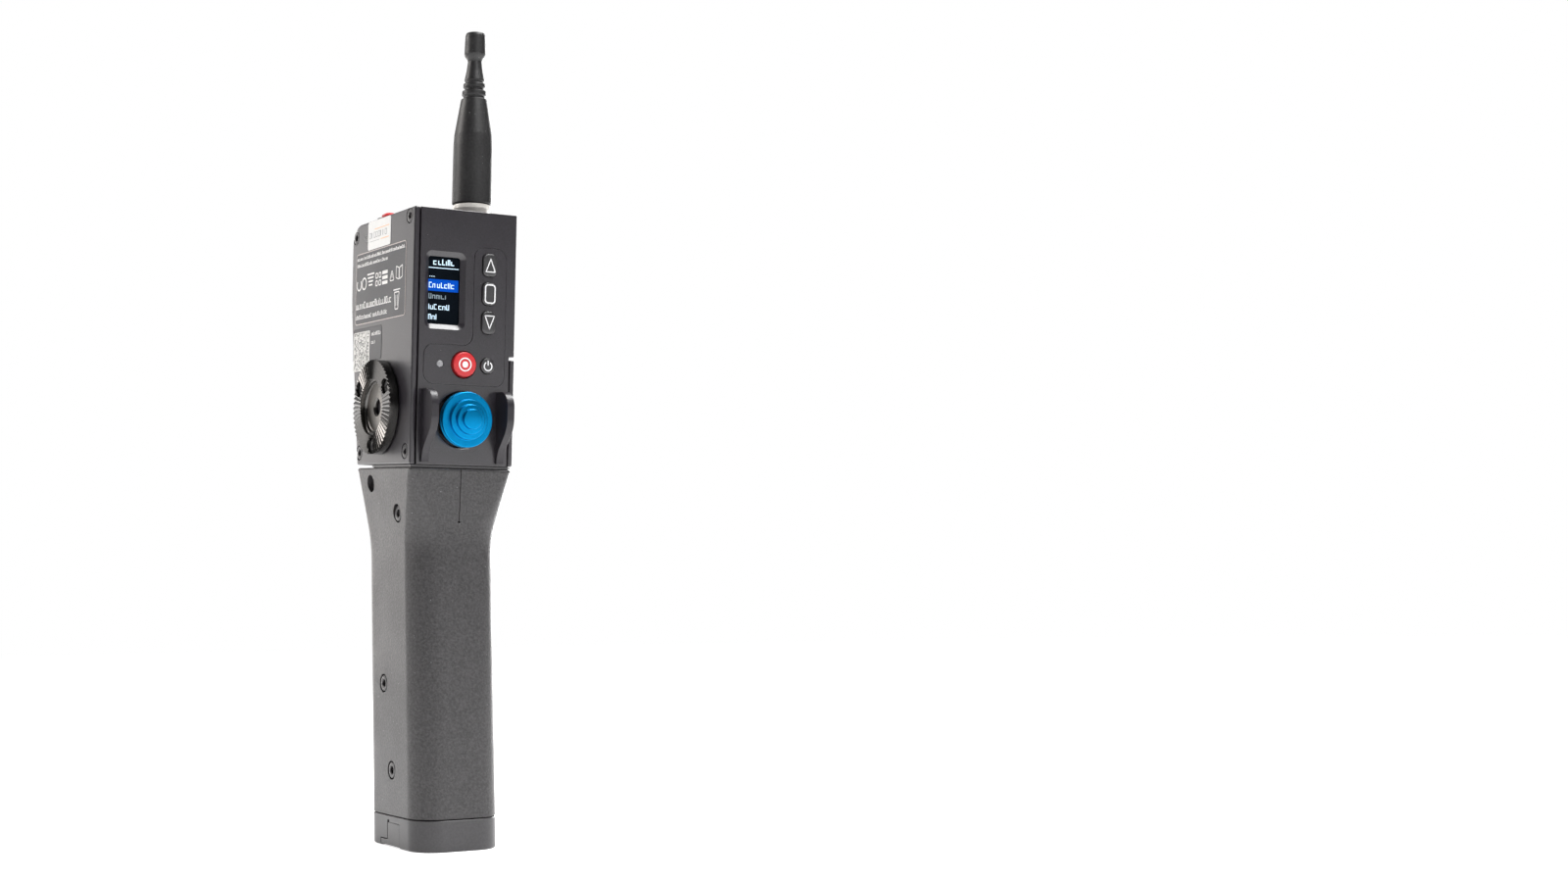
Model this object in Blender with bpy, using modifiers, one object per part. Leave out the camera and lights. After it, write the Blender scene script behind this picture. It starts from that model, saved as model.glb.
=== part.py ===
"""A hand-held wireless zoom demand: a battery grip with a flared top, and a control head that leans forward.

Metres, +Z up. The origin is the middle of the foot's underside. The front panel faces -Y and the
display side is -X. The head has its own frame, an empty at the middle of the head's underside,
and the places of the head's pieces are given in that frame.
"""

import math

import bmesh
import bpy
from mathutils import Matrix, Vector

MM = 0.001

# Clearances and mesh settings
SEAT = 0.3 * MM
FIT = 0.2 * MM
BORE_FIT = 0.1 * MM
OVERRUN = 3.0 * MM
MERGE = 0.01 * MM
ARC_STEPS = 4
KEY_ARC_STEPS = 3
GRIP_ARC_STEPS = 6
RING_STEPS = 20
SMALL_STEPS = 10
KNOB_STEPS = 30
HEX_STEPS = 6
SMOOTH_ANGLE = math.radians(32)

# The head as a whole
TILT = math.radians(4.8)
HEAD_W = 37.2 * MM
HEAD_H = 83.9 * MM
HEAD_D = 45.6 * MM
HEAD_BULGE = 8.4 * MM
KNEE_SHARE = 0.6556
KNEE_R = 80.0 * MM
SHOULDER_R = 7.3 * MM
HEAD_LEAD = 2.8 * MM
HEAD_BASE_H = 127.4 * MM
COVER_T = 2.0 * MM
COVER_ROUND = 0.6 * MM

# Front panel: a milled tray
PANEL_T = 2.2 * MM
TRAY_D = 5.7 * MM
RIM_T = 1.5 * MM
TRAY_CORNER_R = 6.0 * MM
PANEL_ROUND = 0.3 * MM

# The slot between the lower right cover and the radio module
SLOT_H = 35.5 * MM
SLOT_GAP = 1.0 * MM

# Display, its recess and the module behind it
DISPLAY_X = -7.15 * MM
DISPLAY_SHARE = 0.6806
WINDOW_W = 11.4 * MM
WINDOW_H = 22.2 * MM
WINDOW_R = 0.9 * MM
BEZEL_W = 1.65 * MM
BEZEL_D = 1.2 * MM
GLASS_T = 0.7 * MM
GLASS_LIP = 0.2 * MM
GLASS_MARGIN = 0.7 * MM
MODULE_T = 1.2 * MM
MODULE_MARGIN = 1.0 * MM

# Keys and the field round them
KEY_W = 5.0 * MM
KEY_H = 7.5 * MM
KEY_R = 1.9 * MM
KEY_X = 8.6 * MM
KEY_SHARE = 0.6782
KEY_PITCH = 9.5 * MM
KEY_PROUD = 0.9 * MM
KEY_ROUND = 0.45 * MM
KEY_FLANGE = 0.7 * MM
ROUND_FLANGE = 0.45 * MM
KEY_FLANGE_T = 0.7 * MM
KEY_TRAVEL = 0.5 * MM
ROW_SHARE = 0.3945
RECORD_R = 4.15 * MM
RECORD_GAP = 0.5 * MM
RECORD_PROUD = 1.3 * MM
POWER_R = 2.55 * MM
POWER_PROUD = 0.8 * MM
LED_X = -8.5 * MM
LED_R = 1.15 * MM
FIELD_LEFT = -14.4 * MM
FIELD_RIGHT = 15.0 * MM
FIELD_INNER = 3.2 * MM
FIELD_LOW_MARGIN = 2.05 * MM
FIELD_SHELF_MARGIN = 1.65 * MM
FIELD_HIGH_MARGIN = 1.95 * MM
FIELD_R = 3.6 * MM
FIELD_T = 0.6 * MM
FIELD_PROUD = 0.1 * MM

# Circuit boards
BOARD_T = 1.2 * MM
BOARD_GAP = 0.6 * MM
SWITCH_R = 1.6 * MM
BOARD_MARGIN = 1.9 * MM
MAIN_BOARD_X = -12.1 * MM
MAIN_BOARD_LOW_SHARE = 0.3576
MAIN_BOARD_DROP = 6.9 * MM
MAIN_BOARD_FRONT = -16.0 * MM

# Zoom knob and its rocker
KNOB_SHARE = 0.1776
KNOB_R = 9.15 * MM
KNOB_FACE = 4.7 * MM
KNOB_FLANGE_T = 2.6 * MM
KNOB_ROUND = 0.5 * MM
TIER_RADII = [6.6 * MM, 4.9 * MM, 3.3 * MM]
TIER_RISE = 1.45 * MM
TIER_ROUND = 0.3 * MM
KNOB_BOSS_R = 5.0 * MM
WELL_R = 9.3 * MM
PIVOT_DEPTH = 12.0 * MM
DOME_T = 0.8 * MM
DOME_SPAN = math.radians(53)
DOME_STEPS = 5
STEM_R = 2.1 * MM
STEM_IN_KNOB = 4.0 * MM
HUB_R = 3.2 * MM
HUB_L = 5.0 * MM
PIN_R = 1.2 * MM
CHEEK_T = 1.6 * MM
CHEEK_GAP = 12.0 * MM
CHEEK_REACH = 4.5 * MM
BRACKET_FRONT = 3.5 * MM
BRACKET_BACK = 5.8 * MM
BRACKET_BASE_T = 2.0 * MM
SPRING_WIRE_R = 0.25 * MM
SPRING_R = 2.3 * MM
SPRING_PITCH = 0.95 * MM
SPRING_LEG = 4.0 * MM
SPRING_TURNS = 2
SPRING_POINTS = 12

# Thumb guards
GUARD_T = 2.9 * MM
GUARD_X = 13.75 * MM
GUARD_LOW = 0.8 * MM
GUARD_SHARE = 0.284
GUARD_PROUD = 8.5 * MM
GUARD_TOE = 1.1 * MM
GUARD_TOE_SHARE = 0.138
GUARD_HIP_SHARE = 0.5
GUARD_TOP_R = 5.4 * MM
GUARD_CURVE_R = 8.0 * MM
GUARD_ROOT = 0.7 * MM
GUARD_ROUND = 0.7 * MM

# Head frame behind the panel
WALL_T = 3.0 * MM
SIDE_WALL_T = 2.8 * MM
REAR_WALL_T = 4.0 * MM
CAVITY_R = 8.0 * MM
DIVIDER_T = 2.2 * MM
RADIO_X = 3.0 * MM
RADIO_ROUND = 0.5 * MM

# Rosettes
ROSETTE_R = 15.875 * MM
ROSETTE_Y = 2.2 * MM
ROSETTE_Z = 19.25 * MM
ROSETTE_PROUD = 3.8 * MM
ROSETTE_TEETH = 60
TOOTH_DEPTH = 0.85 * MM
RECESS_R = 9.5 * MM
RECESS_D = 2.4 * MM
ROSETTE_HOLE_R = 2.6 * MM
ROSETTE_HUB_R = 5.0 * MM
ROSETTE_HUB_L = 4.0 * MM
ROSETTE_SCREW_RADIUS = 12.9 * MM
ROSETTE_SCREW_ANGLES = [math.radians(30), math.radians(150), math.radians(270)]
ROSETTE_SCREW_SINK = 1.1 * MM

# Screws of the rosettes and covers
SCREW_HEAD_R = 2.3 * MM
SCREW_HEAD_T = 1.3 * MM
SCREW_SHANK_R = 1.1 * MM
SCREW_RECESS_R = 2.65 * MM
SOCKET_R = 1.15 * MM
SOCKET_D = 0.8 * MM
COVER_SCREW_REACH = 3.0 * MM
COVER_SCREW_INSET = 4.2 * MM
COVER_SCREW_TOP_INSET = 2.6 * MM
COVER_SCREW_REAR_INSET = 3.4 * MM

# Antenna
ANTENNA_X = 9.95 * MM
ANTENNA_Y = -5.8 * MM
COLLAR_R = 6.5 * MM
COLLAR_FOOT_R = 5.4 * MM
COLLAR_H = 5.0 * MM
COLLAR_CONE_H = 1.6 * MM
WHIP_R = 6.6 * MM
WHIP_H = 58.0 * MM

# Top button
TOP_BUTTON_X = -12.4 * MM
TOP_BUTTON_Y = 12.6 * MM
TOP_BUTTON_R = 2.9 * MM
TOP_BUTTON_H = 3.1 * MM
TOP_BUTTON_ROUND = 1.2 * MM
TOP_BUTTON_TRAVEL = 0.8 * MM
TOP_COLLAR_R = 4.4 * MM
TOP_COLLAR_H = 0.8 * MM

# Sockets on the rear
SOCKET_X = -6.0 * MM
CAMERA_SOCKET_SHARE = 0.7867
CAMERA_FLANGE_R = 6.2 * MM
CAMERA_BORE_R = 3.9 * MM
BUS_SOCKET_SHARE = 0.5125
BUS_FLANGE_R = 5.4 * MM
BUS_BORE_R = 3.6 * MM
BUS_SPOTFACE_D = 1.77 * MM
PORT_WALL_T = 0.8 * MM
PORT_FLANGE_T = 1.6 * MM
PORT_BORE_D = 7.5 * MM
PORT_BODY_L = 11.0 * MM
PORT_ROUND = 0.4 * MM

# Tenon between head and grip
NECK_GAP = 1.05 * MM
TENON_W = 24.0 * MM
TENON_D = 28.0 * MM
TENON_L = 20.0 * MM
TENON_R = 3.0 * MM
FLANGE_INSET = 0.6 * MM
FLANGE_REAR_Y = 10.3 * MM

# Grip
GRIP_W = 31.0 * MM
GRIP_D = 45.2 * MM
GRIP_R = 9.5 * MM
GRIP_TOP_R = 1.5 * MM
GRIP_TOP_ROUND = 0.8 * MM
GRIP_WALL_T = 2.2 * MM
FLARE_L = 30.0 * MM
FLARE_STEPS = 8
FLARE_EASE_SHARE = 0.4
BAY_DROP = 23.4 * MM
SLIT_W = 0.25 * MM
SLIT_L = 20.4 * MM
SLIT_END_R = 0.45 * MM

# Grip screws, as places on the side face: (y, z)
GRIP_SCREW_HEAD_R = 2.6 * MM
GRIP_SCREW_HEAD_T = 2.1 * MM
GRIP_SCREW_SHANK_R = 1.5 * MM
GRIP_SCREW_RECESS_R = 3.15 * MM
GRIP_SOCKET_R = 1.45 * MM
GRIP_SOCKET_D = 1.1 * MM
GRIP_SCREW_SINK = 0.25 * MM
UPPER_SCREW_Y = -10.4 * MM
UPPER_SCREW_DROP = 16.9 * MM
MIDDLE_SCREW_Y = 5.3 * MM
MIDDLE_SCREW_Z = 54.1 * MM
LOWER_SCREW_Y = -0.7 * MM
LOWER_SCREW_Z = 25.4 * MM
TENON_SCREW_REACH = 3.0 * MM

# Clamp screw, deep in the grip's left face, in the head's frame
CLAMP_Y = 11.3 * MM
CLAMP_Z = -6.4 * MM
CLAMP_HOLE_R = 2.95 * MM
CLAMP_HEAD_R = 2.5 * MM
CLAMP_HEAD_T = 2.2 * MM
CLAMP_SHANK_R = 1.5 * MM
CLAMP_REACH = 4.5 * MM
CLAMP_WALL_T = 1.4 * MM

# Battery and what guides it
FOOT_H = 10.2 * MM
FOOT_ROUND = 0.8 * MM
SLEEVE_T = 1.2 * MM
SLEEVE_LOW = 12.0 * MM
SLEEVE_DROP = 3.0 * MM
BATTERY_FIT = 0.4 * MM
BATTERY_DROP = 7.0 * MM
CONTACTS_T = 3.0 * MM

# Release tabs in the foot
TAB_FRONT = -6.5 * MM
TAB_BACK = 3.2 * MM
TAB_HEEL = 8.8 * MM
TAB_HEEL_H = 2.3 * MM
TAB_TOP = 8.0 * MM
TAB_LOW = 0.5 * MM
TAB_T = 1.8 * MM
TAB_TRAVEL = 1.0 * MM
TAB_NOTCH_W = 1.5 * MM
TAB_NOTCH_H = 0.9 * MM
TAB_NOTCH_D = 2.0 * MM

# Places that follow from the sizes above
KNEE_H = HEAD_H * KNEE_SHARE
DISPLAY_Z = HEAD_H * DISPLAY_SHARE
KEY_Z = HEAD_H * KEY_SHARE
ROW_Z = HEAD_H * ROW_SHARE
FIELD_LOW = ROW_Z - RECORD_R - RECORD_GAP - FIELD_LOW_MARGIN
FIELD_SHELF = ROW_Z + RECORD_R + RECORD_GAP + FIELD_SHELF_MARGIN
FIELD_HIGH = KEY_Z + KEY_PITCH + KEY_H / 2 + FIELD_HIGH_MARGIN
KNOB_Z = HEAD_H * KNOB_SHARE
GUARD_H = HEAD_H * GUARD_SHARE
GUARD_TOE_H = GUARD_H * GUARD_TOE_SHARE
GUARD_HIP_H = GUARD_H * GUARD_HIP_SHARE
CAMERA_SOCKET_Z = HEAD_H * CAMERA_SOCKET_SHARE
BUS_SOCKET_Z = HEAD_H * BUS_SOCKET_SHARE
MAIN_BOARD_LOW = HEAD_H * MAIN_BOARD_LOW_SHARE
MAIN_BOARD_TOP = HEAD_H - MAIN_BOARD_DROP
FRONT_BOARD_LOW = KNOB_Z + (PIVOT_DEPTH + SEAT + DOME_T) * math.sin(DOME_SPAN) + BOARD_MARGIN
BAY_TOP = HEAD_BASE_H - BAY_DROP
SLEEVE_TOP = BAY_TOP - SLEEVE_DROP
BATTERY_TOP = BAY_TOP - BATTERY_DROP
UPPER_SCREW_Z = HEAD_BASE_H - UPPER_SCREW_DROP
SLIT_LOW = HEAD_BASE_H - SLIT_L
SIDE = HEAD_W / 2
COVER_IN = SIDE - COVER_T
BODY_SIDE = COVER_IN - SEAT
FRONT = -HEAD_D / 2
PANEL_BACK = FRONT + PANEL_T
TRAY_BACK = FRONT + TRAY_D
BODY_FRONT = TRAY_BACK + SEAT
REAR_LOW = HEAD_D / 2
REAR_HIGH = REAR_LOW + HEAD_BULGE
RADIO_LOW = SLOT_H + SLOT_GAP
BOARD_FRONT = PANEL_BACK + FIT + KEY_FLANGE_T + KEY_TRAVEL + BOARD_GAP
PIVOT = Vector((0, FRONT + PIVOT_DEPTH, KNOB_Z))
FOOT_TOP = FOOT_H + SEAT
BAY_W = GRIP_W - 2 * GRIP_WALL_T
BAY_D = GRIP_D - 2 * GRIP_WALL_T
BAY_R = GRIP_R - GRIP_WALL_T

# Shares of the whip's radius and height, from its tip down its outer side
WHIP_SHARES = [
    (0, 1),
    (0.45, 1),
    (0.5, 0.99),
    (0.515, 0.95),
    (0.535, 0.877),
    (0.5, 0.865),
    (0.38, 0.847),
    (0.35, 0.836),
    (0.41, 0.78),
    (0.5, 0.724),
    (0.46, 0.717),
    (0.46, 0.711),
    (0.55, 0.696),
    (0.55, 0.684),
    (0.47, 0.677),
    (0.47, 0.671),
    (0.6, 0.655),
    (0.6, 0.635),
    (0.54, 0.628),
    (0.54, 0.622),
    (0.65, 0.61),
    (0.685, 0.594),
    (0.96, 0.392),
    (1, 0.02),
    (0.98, 0),
    (0, 0),
]

# Ways to stand a shape that is made along Z
FORWARD = Matrix.Rotation(math.radians(90), 4, "X")
REARWARD = Matrix.Rotation(math.radians(-90), 4, "X")
LEFTWARD = Matrix.Rotation(math.radians(-90), 4, "Y")
RIGHTWARD = Matrix.Rotation(math.radians(90), 4, "Y")

# How an outline's two directions and its thickness lie in space
PLANES = {
    "front": Matrix(((1, 0, 0, 0), (0, 0, 1, 0), (0, 1, 0, 0), (0, 0, 0, 1))),
    "side": Matrix(((0, 0, 1, 0), (1, 0, 0, 0), (0, 1, 0, 0), (0, 0, 0, 1))),
    "flat": Matrix.Identity(4),
}

# Colour, roughness and metallic value of each finish
FINISHES = {
    "black anodised aluminium": ((0.055, 0.052, 0.056), 0.42, 0.8),
    "black plastic": ((0.03, 0.03, 0.032), 0.5, 0.0),
    "textured charcoal": ((0.12, 0.118, 0.122), 0.7, 0.0),
    "smooth charcoal": ((0.11, 0.108, 0.112), 0.45, 0.0),
    "black rubber": ((0.04, 0.04, 0.042), 0.75, 0.0),
    "azure anodised aluminium": ((0.0, 0.22, 0.6), 0.35, 0.6),
    "red plastic": ((0.75, 0.06, 0.06), 0.4, 0.0),
    "bright steel": ((0.6, 0.6, 0.6), 0.3, 1.0),
    "black steel": ((0.04, 0.04, 0.04), 0.4, 1.0),
    "pale metal": ((0.72, 0.68, 0.62), 0.35, 1.0),
    "display glass": ((0.01, 0.015, 0.04), 0.08, 0.0),
    "milky plastic": ((0.4, 0.4, 0.4), 0.4, 0.0),
    "green circuit board": ((0.02, 0.16, 0.07), 0.5, 0.0),
    "gold contact": ((0.8, 0.6, 0.25), 0.3, 1.0),
}

pieces = None
cutters = None


def start_scene():
    """Empties the scene and makes one collection for the pieces and one for the cutters."""
    global pieces, cutters
    for thing in list(bpy.data.objects):
        bpy.data.objects.remove(thing, do_unlink=True)
    pieces = bpy.data.collections.new("zoom_demand")
    cutters = bpy.data.collections.new("cutters")
    bpy.context.scene.collection.children.link(pieces)
    bpy.context.scene.collection.children.link(cutters)


def made_mesh(guide):
    """The mesh that a guide's curve or modifiers make, with doubles merged and faces turned outwards."""
    bpy.context.scene.collection.objects.link(guide)
    bpy.context.view_layer.update()
    graph = bpy.context.evaluated_depsgraph_get()
    mesh = bpy.data.meshes.new_from_object(guide.evaluated_get(graph))
    bpy.data.objects.remove(guide)
    return tidied(mesh)


def tidied(mesh, matrix=None):
    """The same mesh, moved by a matrix, with doubles merged and faces turned outwards."""
    bm = bmesh.new()
    bm.from_mesh(mesh)
    bmesh.ops.remove_doubles(bm, verts=bm.verts, dist=MERGE)
    if matrix:
        bm.transform(matrix)
    face_outwards(bm)
    bm.to_mesh(mesh)
    bm.free()
    return mesh


def face_outwards(bm):
    """Turns all faces of a closed shape outwards."""
    bm.normal_update()
    bmesh.ops.recalc_face_normals(bm, faces=bm.faces)
    if bm.calc_volume(signed=True) < 0:
        bmesh.ops.reverse_faces(bm, faces=bm.faces)


def slab(loops, plane, start, end):
    """A flat outline with any holes, extruded from start to end across its plane."""
    curve = bpy.data.curves.new("outline", "CURVE")
    curve.dimensions = "2D"
    curve.fill_mode = "BOTH"
    curve.extrude = abs(end - start) / 2
    for loop in loops:
        spline = curve.splines.new("POLY")
        spline.points.add(len(loop) - 1)
        spline.use_cyclic_u = True
        for point, (across, up) in zip(spline.points, loop):
            point.co = (across, up, 0, 1)
    mesh = made_mesh(bpy.data.objects.new("outline", curve))
    return tidied(mesh, PLANES[plane] @ Matrix.Translation((0, 0, (start + end) / 2)))


def turned(profile, stand, at=(0, 0, 0), steps=RING_STEPS, closed=False):
    """A profile of (radius, height) points, top to bottom down its outer side, turned about Z and stood up."""
    count = len(profile)
    edges = [(i, i + 1) for i in range(count - 1)]
    if closed:
        edges.append((count - 1, 0))
    mesh = bpy.data.meshes.new("profile")
    mesh.from_pydata([(radius, 0, height) for radius, height in profile], edges, [])
    guide = bpy.data.objects.new("profile", mesh)
    screw = guide.modifiers.new("Screw", "SCREW")
    screw.steps = steps
    screw.render_steps = steps
    screw.use_merge_vertices = True
    screw.merge_threshold = MERGE
    return tidied(made_mesh(guide), Matrix.Translation(at) @ stand)


def block(low, high):
    """A box between two corners."""
    low = Vector(low)
    high = Vector(high)
    size = high - low
    bm = bmesh.new()
    matrix = Matrix.Translation((low + high) / 2) @ Matrix.Diagonal((*size, 1))
    bmesh.ops.create_cube(bm, size=1, matrix=matrix)
    mesh = bpy.data.meshes.new("block")
    bm.to_mesh(mesh)
    bm.free()
    return mesh


def rod(start, end, radius, steps=SMALL_STEPS):
    """A cylinder between two points."""
    start = Vector(start)
    end = Vector(end)
    along = end - start
    turn = along.to_track_quat("Z", "Y").to_matrix().to_4x4()
    matrix = Matrix.Translation((start + end) / 2) @ turn
    bm = bmesh.new()
    bmesh.ops.create_cone(
        bm,
        cap_ends=True,
        segments=steps,
        radius1=radius,
        radius2=radius,
        depth=along.length,
        matrix=matrix,
    )
    mesh = bpy.data.meshes.new("rod")
    bm.to_mesh(mesh)
    bm.free()
    return mesh


def loft(rings):
    """A closed skin over rings that have as many points each."""
    bm = bmesh.new()
    loops = [[bm.verts.new(point) for point in ring] for ring in rings]
    for low, high in zip(loops, loops[1:]):
        for index, corner in enumerate(low):
            bm.faces.new((low[index - 1], corner, high[index], high[index - 1]))
    for end in (loops[0], loops[-1]):
        bm.faces.new(end)
    face_outwards(bm)
    mesh = bpy.data.meshes.new("loft")
    bm.to_mesh(mesh)
    bm.free()
    return mesh


def gathered(meshes):
    """Several separate shapes in one mesh, for a cutter."""
    bm = bmesh.new()
    for mesh in meshes:
        bm.from_mesh(mesh)
    mesh = bpy.data.meshes.new("group")
    bm.to_mesh(mesh)
    bm.free()
    return mesh


def finish(name):
    """A material of one named finish."""
    colour, roughness, metallic = FINISHES[name]
    material = bpy.data.materials.new(name)
    material.use_nodes = True
    shader = material.node_tree.nodes["Principled BSDF"]
    shader.inputs["Base Color"].default_value = (*colour, 1)
    shader.inputs["Roughness"].default_value = roughness
    shader.inputs["Metallic"].default_value = metallic
    return material


def piece(name, mesh, look, parent=None, at=(0, 0, 0), round_edges=0.0, segments=1):
    """One named piece. Its mesh is given relative to the point at, which is its origin."""
    obj = bpy.data.objects.new(name, mesh)
    mesh.name = name
    mesh.materials.append(finish(look))
    mesh.shade_smooth()
    mesh.set_sharp_from_angle(angle=SMOOTH_ANGLE)
    pieces.objects.link(obj)
    obj.parent = parent
    obj.location = at
    if round_edges:
        bevel = obj.modifiers.new("Rounded edges", "BEVEL")
        bevel.width = round_edges
        bevel.segments = segments
        bevel.limit_method = "ANGLE"
        bevel.angle_limit = SMOOTH_ANGLE
    return obj


def combine(target, mesh, operation):
    """Cuts a shape from a piece, or joins it to the piece. The shape is in the piece's own frame."""
    helper = bpy.data.objects.new(target.name + "_cutter", mesh)
    cutters.objects.link(helper)
    helper.parent = target.parent
    helper.location = target.location
    helper.hide_render = True
    helper.display_type = "WIRE"
    boolean = target.modifiers.new(operation.title(), "BOOLEAN")
    boolean.operation = operation
    boolean.solver = "EXACT"
    boolean.object = helper


def cut(target, mesh):
    combine(target, mesh, "DIFFERENCE")


def join(target, mesh):
    combine(target, mesh, "UNION")


def filleted(corners, steps=ARC_STEPS):
    """Points round a polygon of (across, up, radius) corners. A corner of radius 0 stays sharp."""
    points = []
    befores = corners[-1:] + corners[:-1]
    afters = corners[1:] + corners[:1]
    for before, here, after in zip(befores, corners, afters):
        corner = Vector(here[:2])
        radius = here[2]
        if not radius:
            points.append(tuple(corner))
            continue
        to_before = (Vector(before[:2]) - corner).normalized()
        to_after = (Vector(after[:2]) - corner).normalized()
        half = to_before.angle(to_after) / 2
        centre = corner + (to_before + to_after).normalized() * radius / math.sin(half)
        start = corner + to_before * radius / math.tan(half) - centre
        end = corner + to_after * radius / math.tan(half) - centre
        first = math.atan2(start.y, start.x)
        sweep = math.remainder(math.atan2(end.y, end.x) - first, math.tau)
        for step in range(steps + 1):
            angle = first + sweep * step / steps
            points.append((centre.x + radius * math.cos(angle), centre.y + radius * math.sin(angle)))
    return points


def rounded_rectangle(width, height, radius, centre=(0, 0), steps=ARC_STEPS):
    """A rectangle with round corners."""
    x, y = centre
    right = x + width / 2
    top = y + height / 2
    return filleted(
        [
            (x - width / 2, y - height / 2, radius),
            (right, y - height / 2, radius),
            (right, top, radius),
            (x - width / 2, top, radius),
        ],
        steps,
    )


def circle(radius, centre=(0, 0), steps=RING_STEPS):
    """Points round a circle."""
    points = []
    for step in range(steps):
        angle = math.tau * step / steps
        points.append((centre[0] + radius * math.cos(angle), centre[1] + radius * math.sin(angle)))
    return points


def front_ring(width, height, radius, y):
    """A rounded rectangle that faces the front, at a depth y."""
    outline = rounded_rectangle(width, height, radius, steps=KEY_ARC_STEPS)
    return [(across, y, up) for across, up in outline]


def rear_at(height, inset=0.0):
    """How far back the head's rear wall lies at a height, less an inset."""
    share = min(height / KNEE_H, 1)
    return REAR_LOW + HEAD_BULGE * share - inset


def bus_seat():
    """How far back the spot face for the bus socket lies."""
    return rear_at(BUS_SOCKET_Z) - BUS_SPOTFACE_D


def side_outline(front, low, high, inset=0.0, corner=0.0):
    """The head's side outline between two heights, drawn in by an inset, as (y, z) points."""
    knee = KNEE_H
    shoulder = corner if corner else SHOULDER_R
    corners = [(front, low, 0), (rear_at(low, inset), low, corner)]
    corners.append((REAR_HIGH - inset, knee, KNEE_R))
    corners.append((REAR_HIGH - inset, high, shoulder))
    corners.append((front, high, 0))
    return filleted(corners)


def lower_outline(front, low, high):
    """The side outline below the slot, where the rear wall is one straight slope."""
    return [(front, low), (rear_at(low), low), (rear_at(high), high), (front, high)]


def socket_screw(head_r, head_t, shank_r, shank_l, socket_r, socket_d, stand, at):
    """A cap screw with its head towards +Z before it is stood up; at is the middle of the head's top."""
    profile = [(0, 0), (head_r, 0), (head_r, -head_t), (shank_r, -head_t)]
    profile += [(shank_r, -head_t - shank_l), (0, -head_t - shank_l)]
    guide = bpy.data.objects.new("screw", turned(profile, Matrix.Identity(4), steps=SMALL_STEPS))
    key = rod((0, 0, -socket_d), (0, 0, socket_d), socket_r, HEX_STEPS)
    tool = bpy.data.objects.new("tool", key)
    bpy.context.scene.collection.objects.link(tool)
    boolean = guide.modifiers.new("Socket", "BOOLEAN")
    boolean.operation = "DIFFERENCE"
    boolean.object = tool
    mesh = made_mesh(guide)
    bpy.data.objects.remove(tool)
    return tidied(mesh, Matrix.Translation(at) @ stand)


def cover_screw_places():
    """Where the left cover's screws sit, as (y, z)."""
    front = FRONT + COVER_SCREW_INSET
    top = HEAD_H - COVER_SCREW_TOP_INSET
    rear_top = REAR_HIGH - COVER_SCREW_REAR_INSET
    return [
        (front, top),
        (rear_top, HEAD_H - COVER_SCREW_INSET),
        (front, COVER_SCREW_INSET),
        (REAR_LOW - COVER_SCREW_INSET / 2, COVER_SCREW_INSET),
    ]


def key_places():
    """Name and height of each oblong key, top to bottom."""
    return [("up_key", KEY_Z + KEY_PITCH), ("select_key", KEY_Z), ("down_key", KEY_Z - KEY_PITCH)]


def field_outline(grow=0.0):
    """The L-shaped field round the keys, grown by a margin."""
    left = FIELD_LEFT - grow
    right = FIELD_RIGHT + grow
    low = FIELD_LOW - grow
    inner_x = FIELD_INNER - grow
    shelf = FIELD_SHELF + grow
    high = FIELD_HIGH + grow
    outer = FIELD_R + grow
    inner = FIELD_R - grow
    return filleted(
        [
            (left, low, outer),
            (right, low, outer),
            (right, high, outer),
            (inner_x, high, outer),
            (inner_x, shelf, inner),
            (left, shelf, outer),
        ],
        KEY_ARC_STEPS,
    )


def key_windows():
    """The openings for the keys, the two round buttons and the status light."""
    loops = []
    for _, height in key_places():
        width = KEY_W + 2 * FIT
        tall = KEY_H + 2 * FIT
        loops.append(rounded_rectangle(width, tall, KEY_R + FIT, (KEY_X, height), KEY_ARC_STEPS))
    loops.append(circle(RECORD_R + RECORD_GAP, (0, ROW_Z), KNOB_STEPS))
    loops.append(circle(POWER_R + FIT, (KEY_X, ROW_Z)))
    loops.append(circle(LED_R + FIT, (LED_X, ROW_Z), SMALL_STEPS))
    return loops


def tray_outline(inset):
    """The front panel's outline, wider above the slot, drawn in by an inset."""
    corner = TRAY_CORNER_R if inset else 0.0
    left = -BODY_SIDE + inset
    low_right = BODY_SIDE - inset
    high_right = SIDE - inset
    top = HEAD_H - inset
    step = RADIO_LOW + inset
    top_corner = RIM_T if inset else 0.0
    return filleted(
        [
            (left, inset, corner),
            (low_right, inset, corner),
            (low_right, step, 0),
            (high_right, step, 0),
            (high_right, top, top_corner),
            (left, top, corner),
        ]
    )


def guard_outline(grow=0.0):
    """A thumb guard seen from the side, as (y, z), with its root sunk into the panel."""
    root = FRONT + GUARD_ROOT + grow
    low = GUARD_LOW - grow
    high = GUARD_LOW + GUARD_H + grow
    return filleted(
        [
            (root, low, 0),
            (root, high, 0),
            (FRONT - GUARD_PROUD, high, GUARD_TOP_R),
            (FRONT - GUARD_PROUD, GUARD_LOW + GUARD_HIP_H, GUARD_CURVE_R),
            (FRONT - GUARD_TOE, GUARD_LOW + GUARD_TOE_H, GUARD_CURVE_R),
            (FRONT - GUARD_TOE, low, 0),
        ]
    )


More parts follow.
